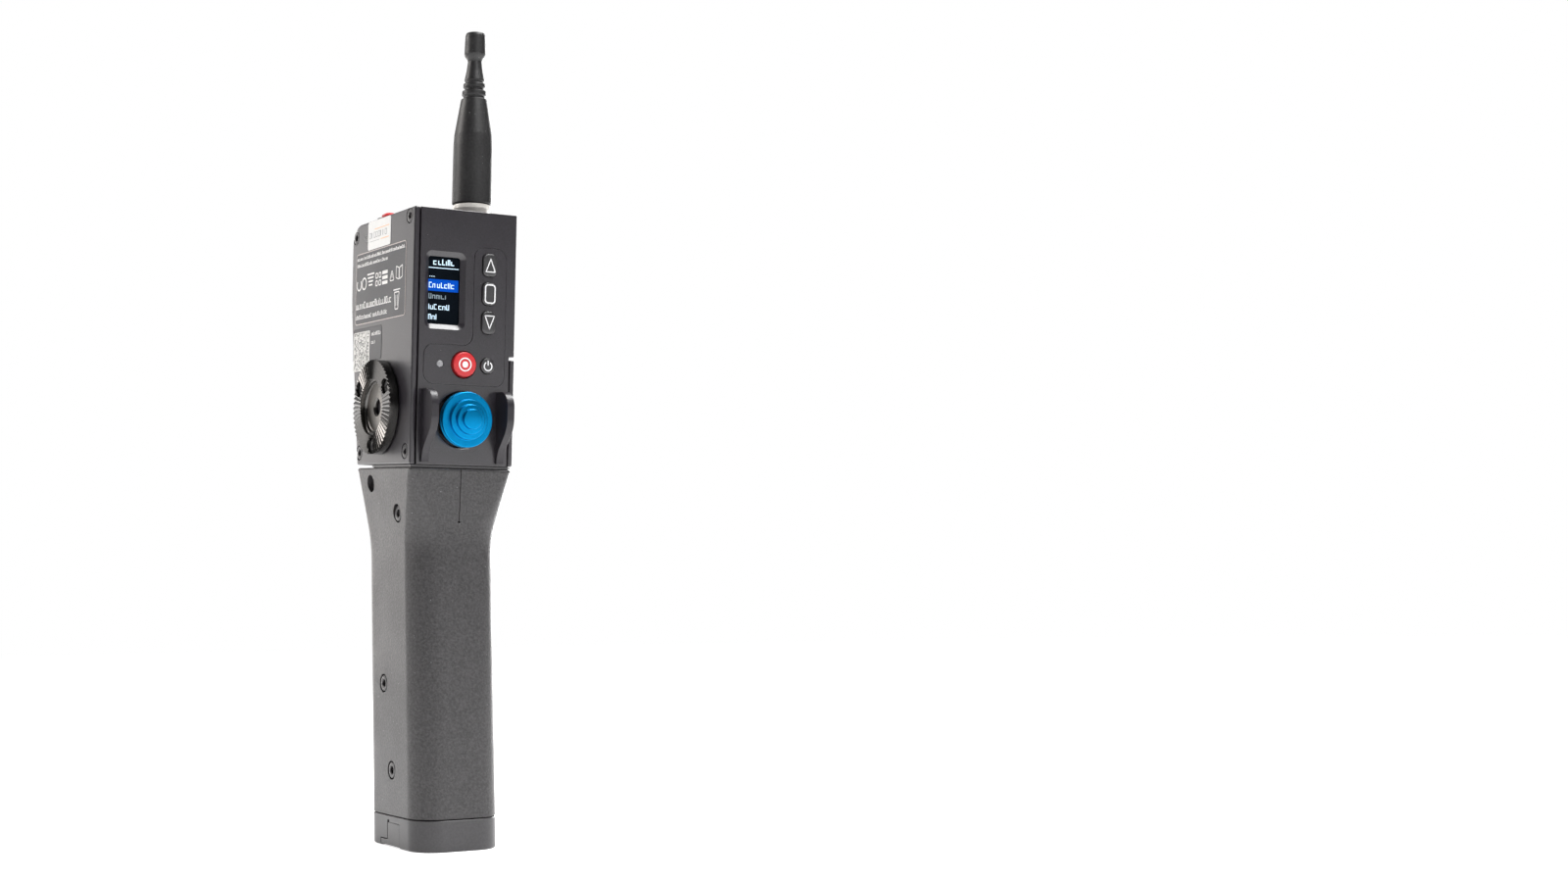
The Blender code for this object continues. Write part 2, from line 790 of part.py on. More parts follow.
def make_front_panel(head):
    """The milled tray that carries display, keys, knob and guards."""
    panel = piece(
        "front_panel",
        slab([tray_outline(0.0)], "front", FRONT, TRAY_BACK),
        "black anodised aluminium",
        head,
        round_edges=PANEL_ROUND,
    )
    cut(panel, slab([tray_outline(RIM_T)], "front", PANEL_BACK, TRAY_BACK + OVERRUN))
    floor = FRONT - FIELD_PROUD + FIELD_T + SEAT
    cut(panel, slab([field_outline(FIT)], "front", FRONT - OVERRUN, floor))
    windows = key_windows()
    windows.append(circle(WELL_R, (0, KNOB_Z), KNOB_STEPS))
    windows.append(rounded_rectangle(WINDOW_W, WINDOW_H, WINDOW_R, (DISPLAY_X, DISPLAY_Z)))
    cut(panel, slab(windows, "front", FRONT - OVERRUN, PANEL_BACK + OVERRUN))
    cut(panel, bezel_cutter())
    glass_front = FRONT + BEZEL_D + GLASS_LIP
    glass_w = WINDOW_W + 2 * GLASS_MARGIN
    glass_h = WINDOW_H + 2 * GLASS_MARGIN
    pocket = rounded_rectangle(glass_w, glass_h, WINDOW_R, (DISPLAY_X, DISPLAY_Z))
    cut(panel, slab([pocket], "front", glass_front, PANEL_BACK + OVERRUN))
    for side in (-1, 1):
        low = side * GUARD_X - GUARD_T / 2 - FIT
        high = side * GUARD_X + GUARD_T / 2 + FIT
        cut(panel, slab([guard_outline(FIT)], "side", low, high))
    holes = []
    for y, z in cover_screw_places()[::2]:
        holes.append(rod((-SIDE, y, z), (-COVER_IN + COVER_SCREW_REACH + SEAT, y, z), SCREW_SHANK_R + FIT))
    y, z = cover_screw_places()[2]
    holes.append(rod((SIDE, y, z), (COVER_IN - COVER_SCREW_REACH - SEAT, y, z), SCREW_SHANK_R + FIT))
    cut(panel, gathered(holes))


def bezel_cutter():
    """A flared shape that bevels the edge of the display's window."""
    grow = BEZEL_W * (BEZEL_D + OVERRUN) / BEZEL_D
    rings = []
    for margin, y in ((0.0, FRONT + BEZEL_D), (grow, FRONT - OVERRUN)):
        width = WINDOW_W + 2 * margin
        height = WINDOW_H + 2 * margin
        ring = front_ring(width, height, WINDOW_R + margin, y)
        rings.append([(x + DISPLAY_X, depth, z + DISPLAY_Z) for x, depth, z in ring])
    return loft(rings)


def make_display(head):
    """The glass in its pocket and the module behind it."""
    centre = (DISPLAY_X, DISPLAY_Z)
    glass_front = FRONT + BEZEL_D + GLASS_LIP + SEAT
    glass_w = WINDOW_W + 2 * (GLASS_MARGIN - FIT)
    glass_h = WINDOW_H + 2 * (GLASS_MARGIN - FIT)
    glass = slab(
        [rounded_rectangle(glass_w, glass_h, WINDOW_R, centre)],
        "front",
        glass_front,
        glass_front + GLASS_T,
    )
    piece("display_glass", glass, "display glass", head)
    module_front = glass_front + GLASS_T + SEAT
    module_w = WINDOW_W + 2 * MODULE_MARGIN
    module_h = WINDOW_H + 2 * MODULE_MARGIN
    module = slab(
        [rounded_rectangle(module_w, module_h, WINDOW_R, centre)],
        "front",
        max(module_front, PANEL_BACK + SEAT),
        BOARD_FRONT - SEAT,
    )
    piece("display_module", module, "black plastic", head)


def make_keys(head):
    """The oblong keys, the record and power buttons, the status light and the field round them."""
    field = slab(
        [field_outline()] + key_windows(), "front", FRONT - FIELD_PROUD, FRONT - FIELD_PROUD + FIELD_T
    )
    piece("keypad_surround", field, "black plastic", head)
    flange_front = PANEL_BACK - FRONT + FIT
    for name, height in key_places():
        wide = KEY_W + 2 * KEY_FLANGE
        tall = KEY_H + 2 * KEY_FLANGE
        rings = [
            front_ring(wide, tall, KEY_R + KEY_FLANGE, flange_front + KEY_FLANGE_T),
            front_ring(wide, tall, KEY_R + KEY_FLANGE, flange_front),
            front_ring(KEY_W, KEY_H, KEY_R, flange_front),
            front_ring(KEY_W, KEY_H, KEY_R, KEY_ROUND - KEY_PROUD),
        ]
        for turn in (math.radians(45), math.radians(90)):
            drawn = KEY_ROUND * (1 - math.cos(turn))
            rise = KEY_ROUND * math.sin(turn)
            width = KEY_W - 2 * drawn
            height_now = KEY_H - 2 * drawn
            rings.append(front_ring(width, height_now, KEY_R - drawn, KEY_ROUND - KEY_PROUD - rise))
        piece(name, loft(rings), "black plastic", head, at=(KEY_X, FRONT, height))
    round_key("record_button", RECORD_R, RECORD_PROUD, RECORD_GAP, "red plastic", head, 0)
    round_key("power_button", POWER_R, POWER_PROUD, FIT, "black plastic", head, KEY_X)
    light = turned(
        [
            (0, 0),
            (LED_R, 0),
            (LED_R, FRONT - BOARD_FRONT + SEAT),
            (0, FRONT - BOARD_FRONT + SEAT),
        ],
        FORWARD,
        steps=SMALL_STEPS,
    )
    piece("status_led", light, "milky plastic", head, at=(LED_X, FRONT, ROW_Z))


def round_key(name, radius, proud, gap, look, head, x):
    """A round button whose flange sits behind the panel."""
    flange = radius + gap + ROUND_FLANGE
    top = FRONT - PANEL_BACK - FIT
    profile = [(0, proud), (radius - 2 * KEY_ROUND, proud)]
    for turn in (math.radians(30), math.radians(60), math.radians(90)):
        reach = radius - KEY_ROUND + KEY_ROUND * math.sin(turn)
        profile.append((reach, proud - KEY_ROUND + KEY_ROUND * math.cos(turn)))
    profile += [(radius, top), (flange, top)]
    profile += [(flange, top - KEY_FLANGE_T), (0, top - KEY_FLANGE_T)]
    piece(name, turned(profile, FORWARD), look, head, at=(x, FRONT, ROW_Z))


def make_boards(head):
    """The board behind the front panel, with its switches, and the main board on the left."""
    margin = RIM_T + SEAT
    left = -BODY_SIDE + margin
    top = HEAD_H - margin
    corner = TRAY_CORNER_R - SEAT
    outline = filleted(
        [(left, FRONT_BOARD_LOW, 0), (-left, FRONT_BOARD_LOW, 0), (-left, top, 0), (left, top, corner)]
    )
    board = slab([outline], "front", BOARD_FRONT, BOARD_FRONT + BOARD_T)
    board = piece("front_circuit_board", board, "green circuit board", head)
    places = [(KEY_X, height) for _, height in key_places()] + [(0, ROW_Z), (KEY_X, ROW_Z)]
    switches = []
    for x, z in places:
        front = BOARD_FRONT - BOARD_GAP + SEAT
        switches.append(rod((x, front, z), (x, BOARD_FRONT + BOARD_T / 2, z), SWITCH_R))
    join(board, gathered(switches))
    rear = rear_at(MAIN_BOARD_LOW, REAR_WALL_T + SEAT)
    high = MAIN_BOARD_TOP
    outline = [
        (MAIN_BOARD_FRONT, MAIN_BOARD_LOW),
        (rear, MAIN_BOARD_LOW),
        (rear, high - CAVITY_R),
        (rear - CAVITY_R, high),
        (MAIN_BOARD_FRONT, high),
    ]
    main = slab([outline], "side", MAIN_BOARD_X - BOARD_T, MAIN_BOARD_X)
    piece("main_circuit_board", main, "green circuit board", head)


def make_housing(head):
    """The head's frame, open to the left and the front, with a bay for the radio module."""
    housing = piece(
        "main_housing",
        slab([side_outline(BODY_FRONT, 0.0, HEAD_H)], "side", -BODY_SIDE, BODY_SIDE),
        "black anodised aluminium",
        head,
    )
    shelf = RADIO_LOW - SEAT
    bay_side = RADIO_X - SEAT
    cut(housing, block((bay_side, -HEAD_D, shelf), (HEAD_W, HEAD_D, HEAD_H + OVERRUN)))
    open_front = BODY_FRONT - OVERRUN
    upper = side_outline(open_front, WALL_T, HEAD_H - WALL_T, REAR_WALL_T, CAVITY_R)
    cut(housing, slab([upper], "side", -HEAD_W, bay_side - DIVIDER_T))
    lower_top = shelf - WALL_T
    lower = filleted(
        [
            (open_front, WALL_T, 0),
            (rear_at(WALL_T, REAR_WALL_T), WALL_T, CAVITY_R),
            (rear_at(lower_top, REAR_WALL_T), lower_top, CAVITY_R),
            (open_front, lower_top, 0),
        ]
    )
    cut(housing, slab([lower], "side", bay_side - 2 * DIVIDER_T, BODY_SIDE - SIDE_WALL_T))
    holes = []
    for y, z in cover_screw_places()[1::2]:
        holes.append(rod((-SIDE, y, z), (-COVER_IN + COVER_SCREW_REACH + SEAT, y, z), SCREW_SHANK_R + FIT))
    y, z = cover_screw_places()[3]
    holes.append(rod((SIDE, y, z), (COVER_IN - COVER_SCREW_REACH - SEAT, y, z), SCREW_SHANK_R + FIT))
    centre = (ROSETTE_Y, ROSETTE_Z)
    holes.append(slab([circle(ROSETTE_HUB_R + SEAT, centre)], "side", 0.0, HEAD_W))
    top_hole = TOP_BUTTON_R + FIT
    top = (TOP_BUTTON_X, TOP_BUTTON_Y, HEAD_H + OVERRUN)
    low = (TOP_BUTTON_X, TOP_BUTTON_Y, HEAD_H - WALL_T - OVERRUN)
    holes.append(rod(low, top, top_hole, RING_STEPS))
    for z, bore in ((CAMERA_SOCKET_Z, CAMERA_BORE_R), (BUS_SOCKET_Z, BUS_BORE_R)):
        barrel = bore + PORT_WALL_T + FIT
        wall = REAR_HIGH - REAR_WALL_T - HEAD_BULGE
        holes.append(rod((SOCKET_X, wall, z), (SOCKET_X, REAR_HIGH + OVERRUN, z), barrel, RING_STEPS))
    cut(housing, gathered(holes))
    spot = (SOCKET_X, bus_seat(), BUS_SOCKET_Z)
    cut(housing, rod(spot, (SOCKET_X, REAR_HIGH + OVERRUN, BUS_SOCKET_Z), BUS_FLANGE_R + FIT, RING_STEPS))


def make_covers(head):
    """The left cover over the whole side, and the lower right cover under the slot."""
    left = piece(
        "left_cover",
        slab([side_outline(FRONT, 0.0, HEAD_H)], "side", -SIDE, -COVER_IN),
        "black anodised aluminium",
        head,
        round_edges=COVER_ROUND,
    )
    right = piece(
        "right_cover",
        slab([lower_outline(FRONT, 0.0, SLOT_H)], "side", COVER_IN, SIDE),
        "black anodised aluminium",
        head,
        round_edges=COVER_ROUND,
    )
    places = cover_screw_places()
    cover_openings(left, -1, places)
    cover_openings(right, 1, places[2:])
    for index, (y, z) in enumerate(places, 1):
        cover_screw(f"left_cover_screw_{index}", -1, y, z, head)
    for index, (y, z) in enumerate(places[2:], 1):
        cover_screw(f"right_cover_screw_{index}", 1, y, z, head)


def cover_openings(cover, side, places):
    """Counterbores for a cover's screws, the rosette's hub hole and the holes of the rosette's screws."""
    heads = []
    shanks = []
    for y, z in places:
        floor = side * (SIDE - SCREW_HEAD_T - SEAT)
        heads.append(rod((side * (SIDE + OVERRUN), y, z), (floor, y, z), SCREW_RECESS_R))
        shanks.append(rod((side * HEAD_W, y, z), (0, y, z), SCREW_SHANK_R + FIT))
    for y, z in rosette_screw_places():
        shanks.append(rod((side * HEAD_W, y, z), (0, y, z), SCREW_SHANK_R + FIT))
    hub = circle(ROSETTE_HUB_R + SEAT, (ROSETTE_Y, ROSETTE_Z))
    shanks.append(slab([hub], "side", *sorted((0.0, side * HEAD_W))))
    cut(cover, gathered(heads))
    cut(cover, gathered(shanks))


def cover_screw(name, side, y, z, head):
    """A socket screw in a side cover, its head just under the surface."""
    stand = RIGHTWARD if side > 0 else LEFTWARD
    reach = COVER_T - SCREW_HEAD_T + COVER_SCREW_REACH
    mesh = socket_screw(
        SCREW_HEAD_R,
        SCREW_HEAD_T,
        SCREW_SHANK_R,
        reach - SEAT,
        SOCKET_R,
        SOCKET_D,
        stand,
        (side * SIDE, y, z),
    )
    piece(name, mesh, "black steel", head)


def rosette_screw_places():
    """Where a rosette's screws sit, as (y, z). The front upper one comes first."""
    places = []
    for angle in ROSETTE_SCREW_ANGLES:
        y = ROSETTE_Y - ROSETTE_SCREW_RADIUS * math.cos(angle)
        places.append((y, ROSETTE_Z + ROSETTE_SCREW_RADIUS * math.sin(angle)))
    return places


def rosette_mesh(side):
    """A toothed ring with a stepped recess, a threaded hole and a hub that goes through the cover."""
    tip = ROSETTE_PROUD
    base = SEAT
    rings = []
    count = 2 * ROSETTE_TEETH
    for radius, heights in (
        (RECESS_R, (tip - RECESS_D, tip - RECESS_D)),
        (RECESS_R, (tip, tip - TOOTH_DEPTH * RECESS_R / ROSETTE_R)),
        (ROSETTE_R, (tip, tip - TOOTH_DEPTH)),
        (ROSETTE_R, (base, base)),
    ):
        ring = []
        for index in range(count):
            angle = math.tau * index / count
            height = heights[index % 2]
            ring.append((radius * math.cos(angle), radius * math.sin(angle), height))
        rings.append(ring)
    stand = RIGHTWARD if side > 0 else LEFTWARD
    at = (side * SIDE, ROSETTE_Y, ROSETTE_Z)
    return tidied(loft(rings), Matrix.Translation(at) @ stand)


def make_rosettes(head):
    """One toothed rosette on each side, for an accessory arm."""
    for side, label in ((-1, "left"), (1, "right")):
        rosette = piece(f"{label}_rosette", rosette_mesh(side), "black anodised aluminium", head)
        face = side * (SIDE + ROSETTE_PROUD - RECESS_D)
        inner = side * (COVER_IN - ROSETTE_HUB_L)
        middle = (face + side * (SIDE + SEAT)) / 2
        join(rosette, rod_between(inner, middle, ROSETTE_HUB_R))
        cut(rosette, rod_between(inner - side * OVERRUN, face + side * OVERRUN, ROSETTE_HOLE_R))
        head_top = SIDE + ROSETTE_PROUD - ROSETTE_SCREW_SINK
        recesses = []
        shanks = []
        for y, z in rosette_screw_places():
            floor = side * (head_top - SCREW_HEAD_T - SEAT)
            recesses.append(rod((side * (SIDE + ROSETTE_PROUD + OVERRUN), y, z), (floor, y, z), SCREW_RECESS_R))
            shanks.append(rod((side * HEAD_W, y, z), (0, y, z), SCREW_SHANK_R + FIT))
        cut(rosette, gathered(recesses))
        cut(rosette, gathered(shanks))
        stand = RIGHTWARD if side > 0 else LEFTWARD
        reach = head_top - SCREW_HEAD_T - COVER_IN
        for index, (y, z) in enumerate(rosette_screw_places(), 1):
            mesh = socket_screw(
                SCREW_HEAD_R,
                SCREW_HEAD_T,
                SCREW_SHANK_R,
                reach,
                SOCKET_R,
                SOCKET_D,
                stand,
                (side * head_top, y, z),
            )
            piece(f"{label}_rosette_screw_{index}", mesh, "black steel", head)


def rod_between(start, end, radius):
    """A cylinder across the head on the rosettes' axis."""
    return rod((start, ROSETTE_Y, ROSETTE_Z), (end, ROSETTE_Y, ROSETTE_Z), radius, RING_STEPS)


def make_radio(head):
    """The radio module behind the panel's upper right, with its antenna."""
    outline = side_outline(BODY_FRONT, RADIO_LOW, HEAD_H)
    piece(
        "radio_module",
        slab([outline], "side", RADIO_X, SIDE),
        "black anodised aluminium",
        head,
        round_edges=RADIO_ROUND,
    )
    collar = turned(
        [
            (0, SEAT + COLLAR_H),
            (COLLAR_R, SEAT + COLLAR_H),
            (COLLAR_R, SEAT + COLLAR_H - COLLAR_CONE_H),
            (COLLAR_FOOT_R, SEAT + COLLAR_H - 2 * COLLAR_CONE_H),
            (COLLAR_FOOT_R, SEAT),
            (0, SEAT),
        ],
        Matrix.Identity(4),
    )
    base = (ANTENNA_X, ANTENNA_Y, HEAD_H)
    piece("antenna_collar", collar, "pale metal", head, at=base)
    foot = 2 * SEAT + COLLAR_H
    profile = [(share * WHIP_R, foot + rise * WHIP_H) for share, rise in WHIP_SHARES]
    piece("antenna_whip", turned(profile, Matrix.Identity(4)), "black rubber", head, at=base)


def make_top_button(head):
    """The red button on top and the collar round it."""
    base = (TOP_BUTTON_X, TOP_BUTTON_Y, HEAD_H)
    profile = [(0, TOP_BUTTON_H)]
    for turn in (math.radians(0), math.radians(30), math.radians(60), math.radians(90)):
        reach = TOP_BUTTON_R - TOP_BUTTON_ROUND + TOP_BUTTON_ROUND * math.sin(turn)
        profile.append((reach, TOP_BUTTON_H - TOP_BUTTON_ROUND + TOP_BUTTON_ROUND * math.cos(turn)))
    flange_top = -WALL_T - FIT
    flange = TOP_BUTTON_R + KEY_FLANGE
    profile += [(TOP_BUTTON_R, flange_top), (flange, flange_top)]
    profile += [(flange, flange_top - KEY_FLANGE_T), (0, flange_top - KEY_FLANGE_T)]
    piece("top_button", turned(profile, Matrix.Identity(4)), "red plastic", head, at=base)
    inner = TOP_BUTTON_R + FIT
    ring = [
        (inner, SEAT + TOP_COLLAR_H),
        (TOP_COLLAR_R - TOP_BUTTON_ROUND / 2, SEAT + TOP_COLLAR_H),
        (TOP_COLLAR_R, SEAT + TOP_COLLAR_H - TOP_BUTTON_ROUND / 2),
        (TOP_COLLAR_R, SEAT),
        (inner, SEAT),
    ]
    collar = turned(ring, Matrix.Identity(4), closed=True)
    piece("top_button_collar", collar, "black anodised aluminium", head, at=base)


def make_port(name, z, seat_y, flange_r, bore_r, head):
    """A round socket with a bored barrel, its flange on the housing's rear."""
    barrel = bore_r + PORT_WALL_T
    top = SEAT + PORT_FLANGE_T
    profile = [
        (0, top - PORT_BORE_D),
        (bore_r, top - PORT_BORE_D),
        (bore_r, top),
        (flange_r - PORT_ROUND, top),
        (flange_r, top - PORT_ROUND),
        (flange_r, SEAT),
        (barrel, SEAT),
        (barrel, SEAT - PORT_BODY_L),
        (0, SEAT - PORT_BODY_L),
    ]
    piece(name, turned(profile, REARWARD), "black steel", head, at=(SOCKET_X, seat_y, z))


def make_zoom_rocker(head):
    """The blue knob on its lever, the dome that closes the well, and the pin, bracket and spring."""
    reach = PIVOT_DEPTH + KNOB_FACE
    steps = []
    face = reach
    radii = [KNOB_R] + TIER_RADII
    rounds = [KNOB_ROUND] + [TIER_ROUND] * len(TIER_RADII)
    for radius, edge in zip(radii, rounds):
        steps.append((radius, face - edge))
        steps.append((radius - edge, face))
        face += TIER_RISE
    profile = [(0, face - TIER_RISE)] + steps[::-1]
    back = reach - KNOB_FLANGE_T
    boss = PIVOT_DEPTH + SEAT + DOME_T
    bore = STEM_R + FIT
    bore_top = back + STEM_IN_KNOB
    profile += [
        (KNOB_R, back + KNOB_ROUND),
        (KNOB_R - KNOB_ROUND, back),
        (KNOB_BOSS_R, back),
        (KNOB_BOSS_R, boss),
        (bore, boss),
        (bore, bore_top),
        (0, bore_top),
    ]
    knob = turned(profile, FORWARD, steps=KNOB_STEPS)
    piece("zoom_knob", knob, "azure anodised aluminium", head, at=PIVOT)

    dome_r = boss - SEAT
    inner_r = dome_r - DOME_T
    first = math.asin((STEM_R + FIT) / inner_r)
    outer = []
    inside = []
    for step in range(DOME_STEPS + 1):
        angle = first + (DOME_SPAN - first) * step / DOME_STEPS
        outer.append((dome_r * math.sin(angle), dome_r * math.cos(angle)))
        inside.append((inner_r * math.sin(angle), inner_r * math.cos(angle)))
    dome = turned(outer + inside[::-1], FORWARD, closed=True)
    piece("zoom_dome", dome, "black rubber", head, at=PIVOT)

    tip = bore_top - SEAT
    stem = turned([(0, tip), (STEM_R, tip), (STEM_R, 0), (0, 0)], FORWARD, steps=SMALL_STEPS)
    lever = piece("zoom_lever", stem, "bright steel", head, at=PIVOT)
    half = HUB_L / 2
    join(lever, rod((-half, 0, 0), (half, 0, 0), HUB_R, RING_STEPS))
    cut(lever, rod((-HUB_L, 0, 0), (HUB_L, 0, 0), PIN_R + BORE_FIT, RING_STEPS))

    span = CHEEK_GAP / 2 + CHEEK_T
    pin_end = span + SEAT
    pin = rod((-pin_end, 0, 0), (pin_end, 0, 0), PIN_R, RING_STEPS)
    piece("zoom_pivot_pin", pin, "bright steel", head, at=PIVOT)
    make_bracket(head, span)
    make_spring(head, half)


def make_bracket(head, span):
    """The forked bracket that stands on the housing's floor and carries the pin."""
    low = WALL_T + SEAT
    front = PIVOT.y - BRACKET_FRONT
    back = PIVOT.y + BRACKET_BACK
    high = PIVOT.z + CHEEK_REACH
    crown = CHEEK_REACH / 2
    outline = filleted([(front, low, 0), (back, low, 0), (back, high, crown), (front, high, crown)])
    hole = circle(PIN_R + FIT, (PIVOT.y, PIVOT.z))
    mesh = slab([outline, hole], "side", -span, span)
    bracket = piece("zoom_bracket", mesh, "bright steel", head)
    gap = CHEEK_GAP / 2
    base = low + BRACKET_BASE_T
    cut(bracket, block((-gap, front - OVERRUN, base), (gap, back + OVERRUN, high + OVERRUN)))


def make_spring(head, hub_end):
    """The centring spring: an open coil round the pin with two legs that reach back."""
    start = hub_end + SEAT + SPRING_WIRE_R
    points = [(start, SPRING_LEG, SPRING_R)]
    count = SPRING_TURNS * SPRING_POINTS
    for index in range(count + 1):
        angle = math.tau * index / SPRING_POINTS
        x = start + SPRING_PITCH * index / SPRING_POINTS
        points.append((x, -SPRING_R * math.sin(angle), SPRING_R * math.cos(angle)))
    points.append((start + SPRING_PITCH * SPRING_TURNS, SPRING_LEG, SPRING_R))
    curve = bpy.data.curves.new("spring", "CURVE")
    curve.dimensions = "3D"
    curve.bevel_depth = SPRING_WIRE_R
    curve.bevel_resolution = 1
    curve.use_fill_caps = True
    spline = curve.splines.new("POLY")
    spline.points.add(len(points) - 1)
    for point, place in zip(spline.points, points):
        point.co = (*place, 1)
    mesh = made_mesh(bpy.data.objects.new("spring", curve))
    piece("centring_spring", mesh, "bright steel", head, at=PIVOT)


def make_guards(head):
    """The two fins that keep the knob from being pushed by accident."""
    for side, label in ((-1, "left"), (1, "right")):
        low = side * GUARD_X - GUARD_T / 2
        high = side * GUARD_X + GUARD_T / 2
        mesh = slab([guard_outline()], "side", low, high)
        name = f"thumb_guard_{label}"
        piece(name, mesh, "black anodised aluminium", head, round_edges=GUARD_ROUND, segments=2)


def make_tenon(head):
    """The neck under the head, clamped in the grip's top, with a flange that closes the gap's front."""
    outline = rounded_rectangle(TENON_W, TENON_D, TENON_R)
    tenon = piece("grip_tenon", slab([outline], "flat", -TENON_L, -SEAT), "black anodised aluminium", head)
    side = TENON_W / 2
    holes = [
        rod((-TENON_W, CLAMP_Y, CLAMP_Z), (-side + CLAMP_REACH + SEAT, CLAMP_Y, CLAMP_Z), CLAMP_SHANK_R + FIT)
    ]
    y, z = in_head(UPPER_SCREW_Y, UPPER_SCREW_Z)
    for hand in (-1, 1):
        deep = hand * (side - TENON_SCREW_REACH - SEAT)
        holes.append(rod((hand * TENON_W, y, z), (deep, y, z), GRIP_SCREW_SHANK_R + FIT))
    cut(tenon, gathered(holes))
    reach = SIDE - FLANGE_INSET
    front = FRONT + FLANGE_INSET
    flange = [(-reach, front), (reach, front), (reach, FLANGE_REAR_Y), (-reach, FLANGE_REAR_Y)]
    join(tenon, slab([flange], "flat", SEAT - NECK_GAP, -SEAT))
    head_out = side + SEAT + CLAMP_WALL_T + SEAT + CLAMP_HEAD_T
    mesh = socket_screw(
        CLAMP_HEAD_R,
        CLAMP_HEAD_T,
        CLAMP_SHANK_R,
        2 * SEAT + CLAMP_WALL_T + CLAMP_REACH,
        GRIP_SOCKET_R,
        GRIP_SOCKET_D,
        LEFTWARD,
        (-head_out, CLAMP_Y, CLAMP_Z),
    )
    piece("grip_clamp_screw", mesh, "black steel", head)


def in_head(y, z):
    """A point of the grip's side view, as (y, z) in the head's frame."""
    back = y + HEAD_LEAD
    up = z - HEAD_BASE_H
    return (
        back * math.cos(TILT) + up * math.sin(TILT),
        up * math.cos(TILT) - back * math.sin(TILT),
    )


def flare(share):
    """How far the flare has opened at a share of its length: an easy start, then straight."""
    ease = FLARE_EASE_SHARE
    if share < ease:
        opened = share * share / (2 * ease)
    else:
        opened = share - ease / 2
    return opened / (1 - ease / 2)


def grip_ring(share, inset=0.0, raise_by=0.0):
    """A ring of the grip at a share of the flare's length, drawn in by an inset."""
    opened = flare(share)
    width = GRIP_W + (HEAD_W - GRIP_W) * opened - 2 * inset
    depth = GRIP_D + (HEAD_D - GRIP_D) * opened - 2 * inset
    radius = GRIP_R + (GRIP_TOP_R - GRIP_R) * opened
    top = Vector((0, -HEAD_LEAD, HEAD_BASE_H)) + Matrix.Rotation(TILT, 3, "X") @ Vector((0, 0, -NECK_GAP))
    centre = Vector((0, top.y * opened, top.z - FLARE_L * (1 - share)))
    turn = Matrix.Rotation(TILT * share, 3, "X")
    ring = rounded_rectangle(width, depth, radius, steps=GRIP_ARC_STEPS)
    return [centre + turn @ Vector((x, y, raise_by)) for x, y in ring]


def grip_side_at(z):
    """The grip's half width at a height."""
    start = HEAD_BASE_H - NECK_GAP - FLARE_L
    share = min(max((z - start) / FLARE_L, 0), 1)
    return (GRIP_W + (HEAD_W - GRIP_W) * flare(share)) / 2


def make_grip():
    """The grip shell: a rounded tube that flares to the head's outline, slit at its top front."""
    outline = rounded_rectangle(GRIP_W, GRIP_D, GRIP_R, steps=GRIP_ARC_STEPS)
    rings = [[(x, y, FOOT_TOP) for x, y in outline]]
    for step in range(FLARE_STEPS + 1):
        share = step / FLARE_STEPS
        if share < 1:
            rings.append(grip_ring(share))
    rings.append(grip_ring(1, raise_by=-GRIP_TOP_ROUND))
    for turn in (math.radians(45), math.radians(90)):
        drawn = GRIP_TOP_ROUND * (1 - math.cos(turn))
        rings.append(grip_ring(1, drawn, GRIP_TOP_ROUND * (math.sin(turn) - 1)))
    shell = piece("grip_shell", loft(rings), "textured charcoal")
    bay = rounded_rectangle(BAY_W, BAY_D, BAY_R)
    cut(shell, slab([bay], "flat", FOOT_TOP - OVERRUN, BAY_TOP))
    pocket = rounded_rectangle(TENON_W + 2 * SEAT, TENON_D + 2 * SEAT, TENON_R + SEAT)
    mouth = slab([pocket], "flat", -FLARE_L, OVERRUN)
    cut(shell, tidied(mouth, head_matrix()))
    slit = [block((-SLIT_W / 2, -HEAD_D, SLIT_LOW), (SLIT_W / 2, 0, HEAD_BASE_H + OVERRUN))]
    cut(shell, gathered(slit))
    cut(shell, rod((0, -HEAD_D, SLIT_LOW), (0, 0, SLIT_LOW), SLIT_END_R))
    recesses = []
    shanks = []
    for side in (-1, 1):
        for y, z in ((MIDDLE_SCREW_Y, MIDDLE_SCREW_Z), (LOWER_SCREW_Y, LOWER_SCREW_Z)):
            recesses.append(rod((side * GRIP_W, y, z), (0, y, z), GRIP_SCREW_RECESS_R, RING_STEPS))
        y, z = (UPPER_SCREW_Y, UPPER_SCREW_Z)
        floor = upper_screw_top() - GRIP_SCREW_HEAD_T - SEAT
        recesses.append(rod((side * GRIP_W, y, z), (side * floor, y, z), GRIP_SCREW_RECESS_R, RING_STEPS))
        shanks.append(rod((side * GRIP_W, y, z), (0, y, z), GRIP_SCREW_SHANK_R + FIT))
    clamp_floor = TENON_W / 2 + SEAT + CLAMP_WALL_T
    clamp = [rod((-HEAD_W, CLAMP_Y, CLAMP_Z), (-clamp_floor, CLAMP_Y, CLAMP_Z), CLAMP_HOLE_R, RING_STEPS)]
    clamp_shank = rod((-HEAD_W, CLAMP_Y, CLAMP_Z), (0, CLAMP_Y, CLAMP_Z), CLAMP_SHANK_R + FIT)
    recesses.append(tidied(clamp[0], head_matrix()))
    shanks.append(tidied(clamp_shank, head_matrix()))
    cut(shell, gathered(recesses))
    cut(shell, gathered(shanks))
    make_grip_screws()


def head_matrix():
    """Where the head's frame lies in the whole."""
    return Matrix.Translation((0, -HEAD_LEAD, HEAD_BASE_H)) @ Matrix.Rotation(TILT, 4, "X")


def upper_screw_top():
    """How far out the head of an upper grip screw reaches."""
    return grip_side_at(UPPER_SCREW_Z) - GRIP_SCREW_SINK


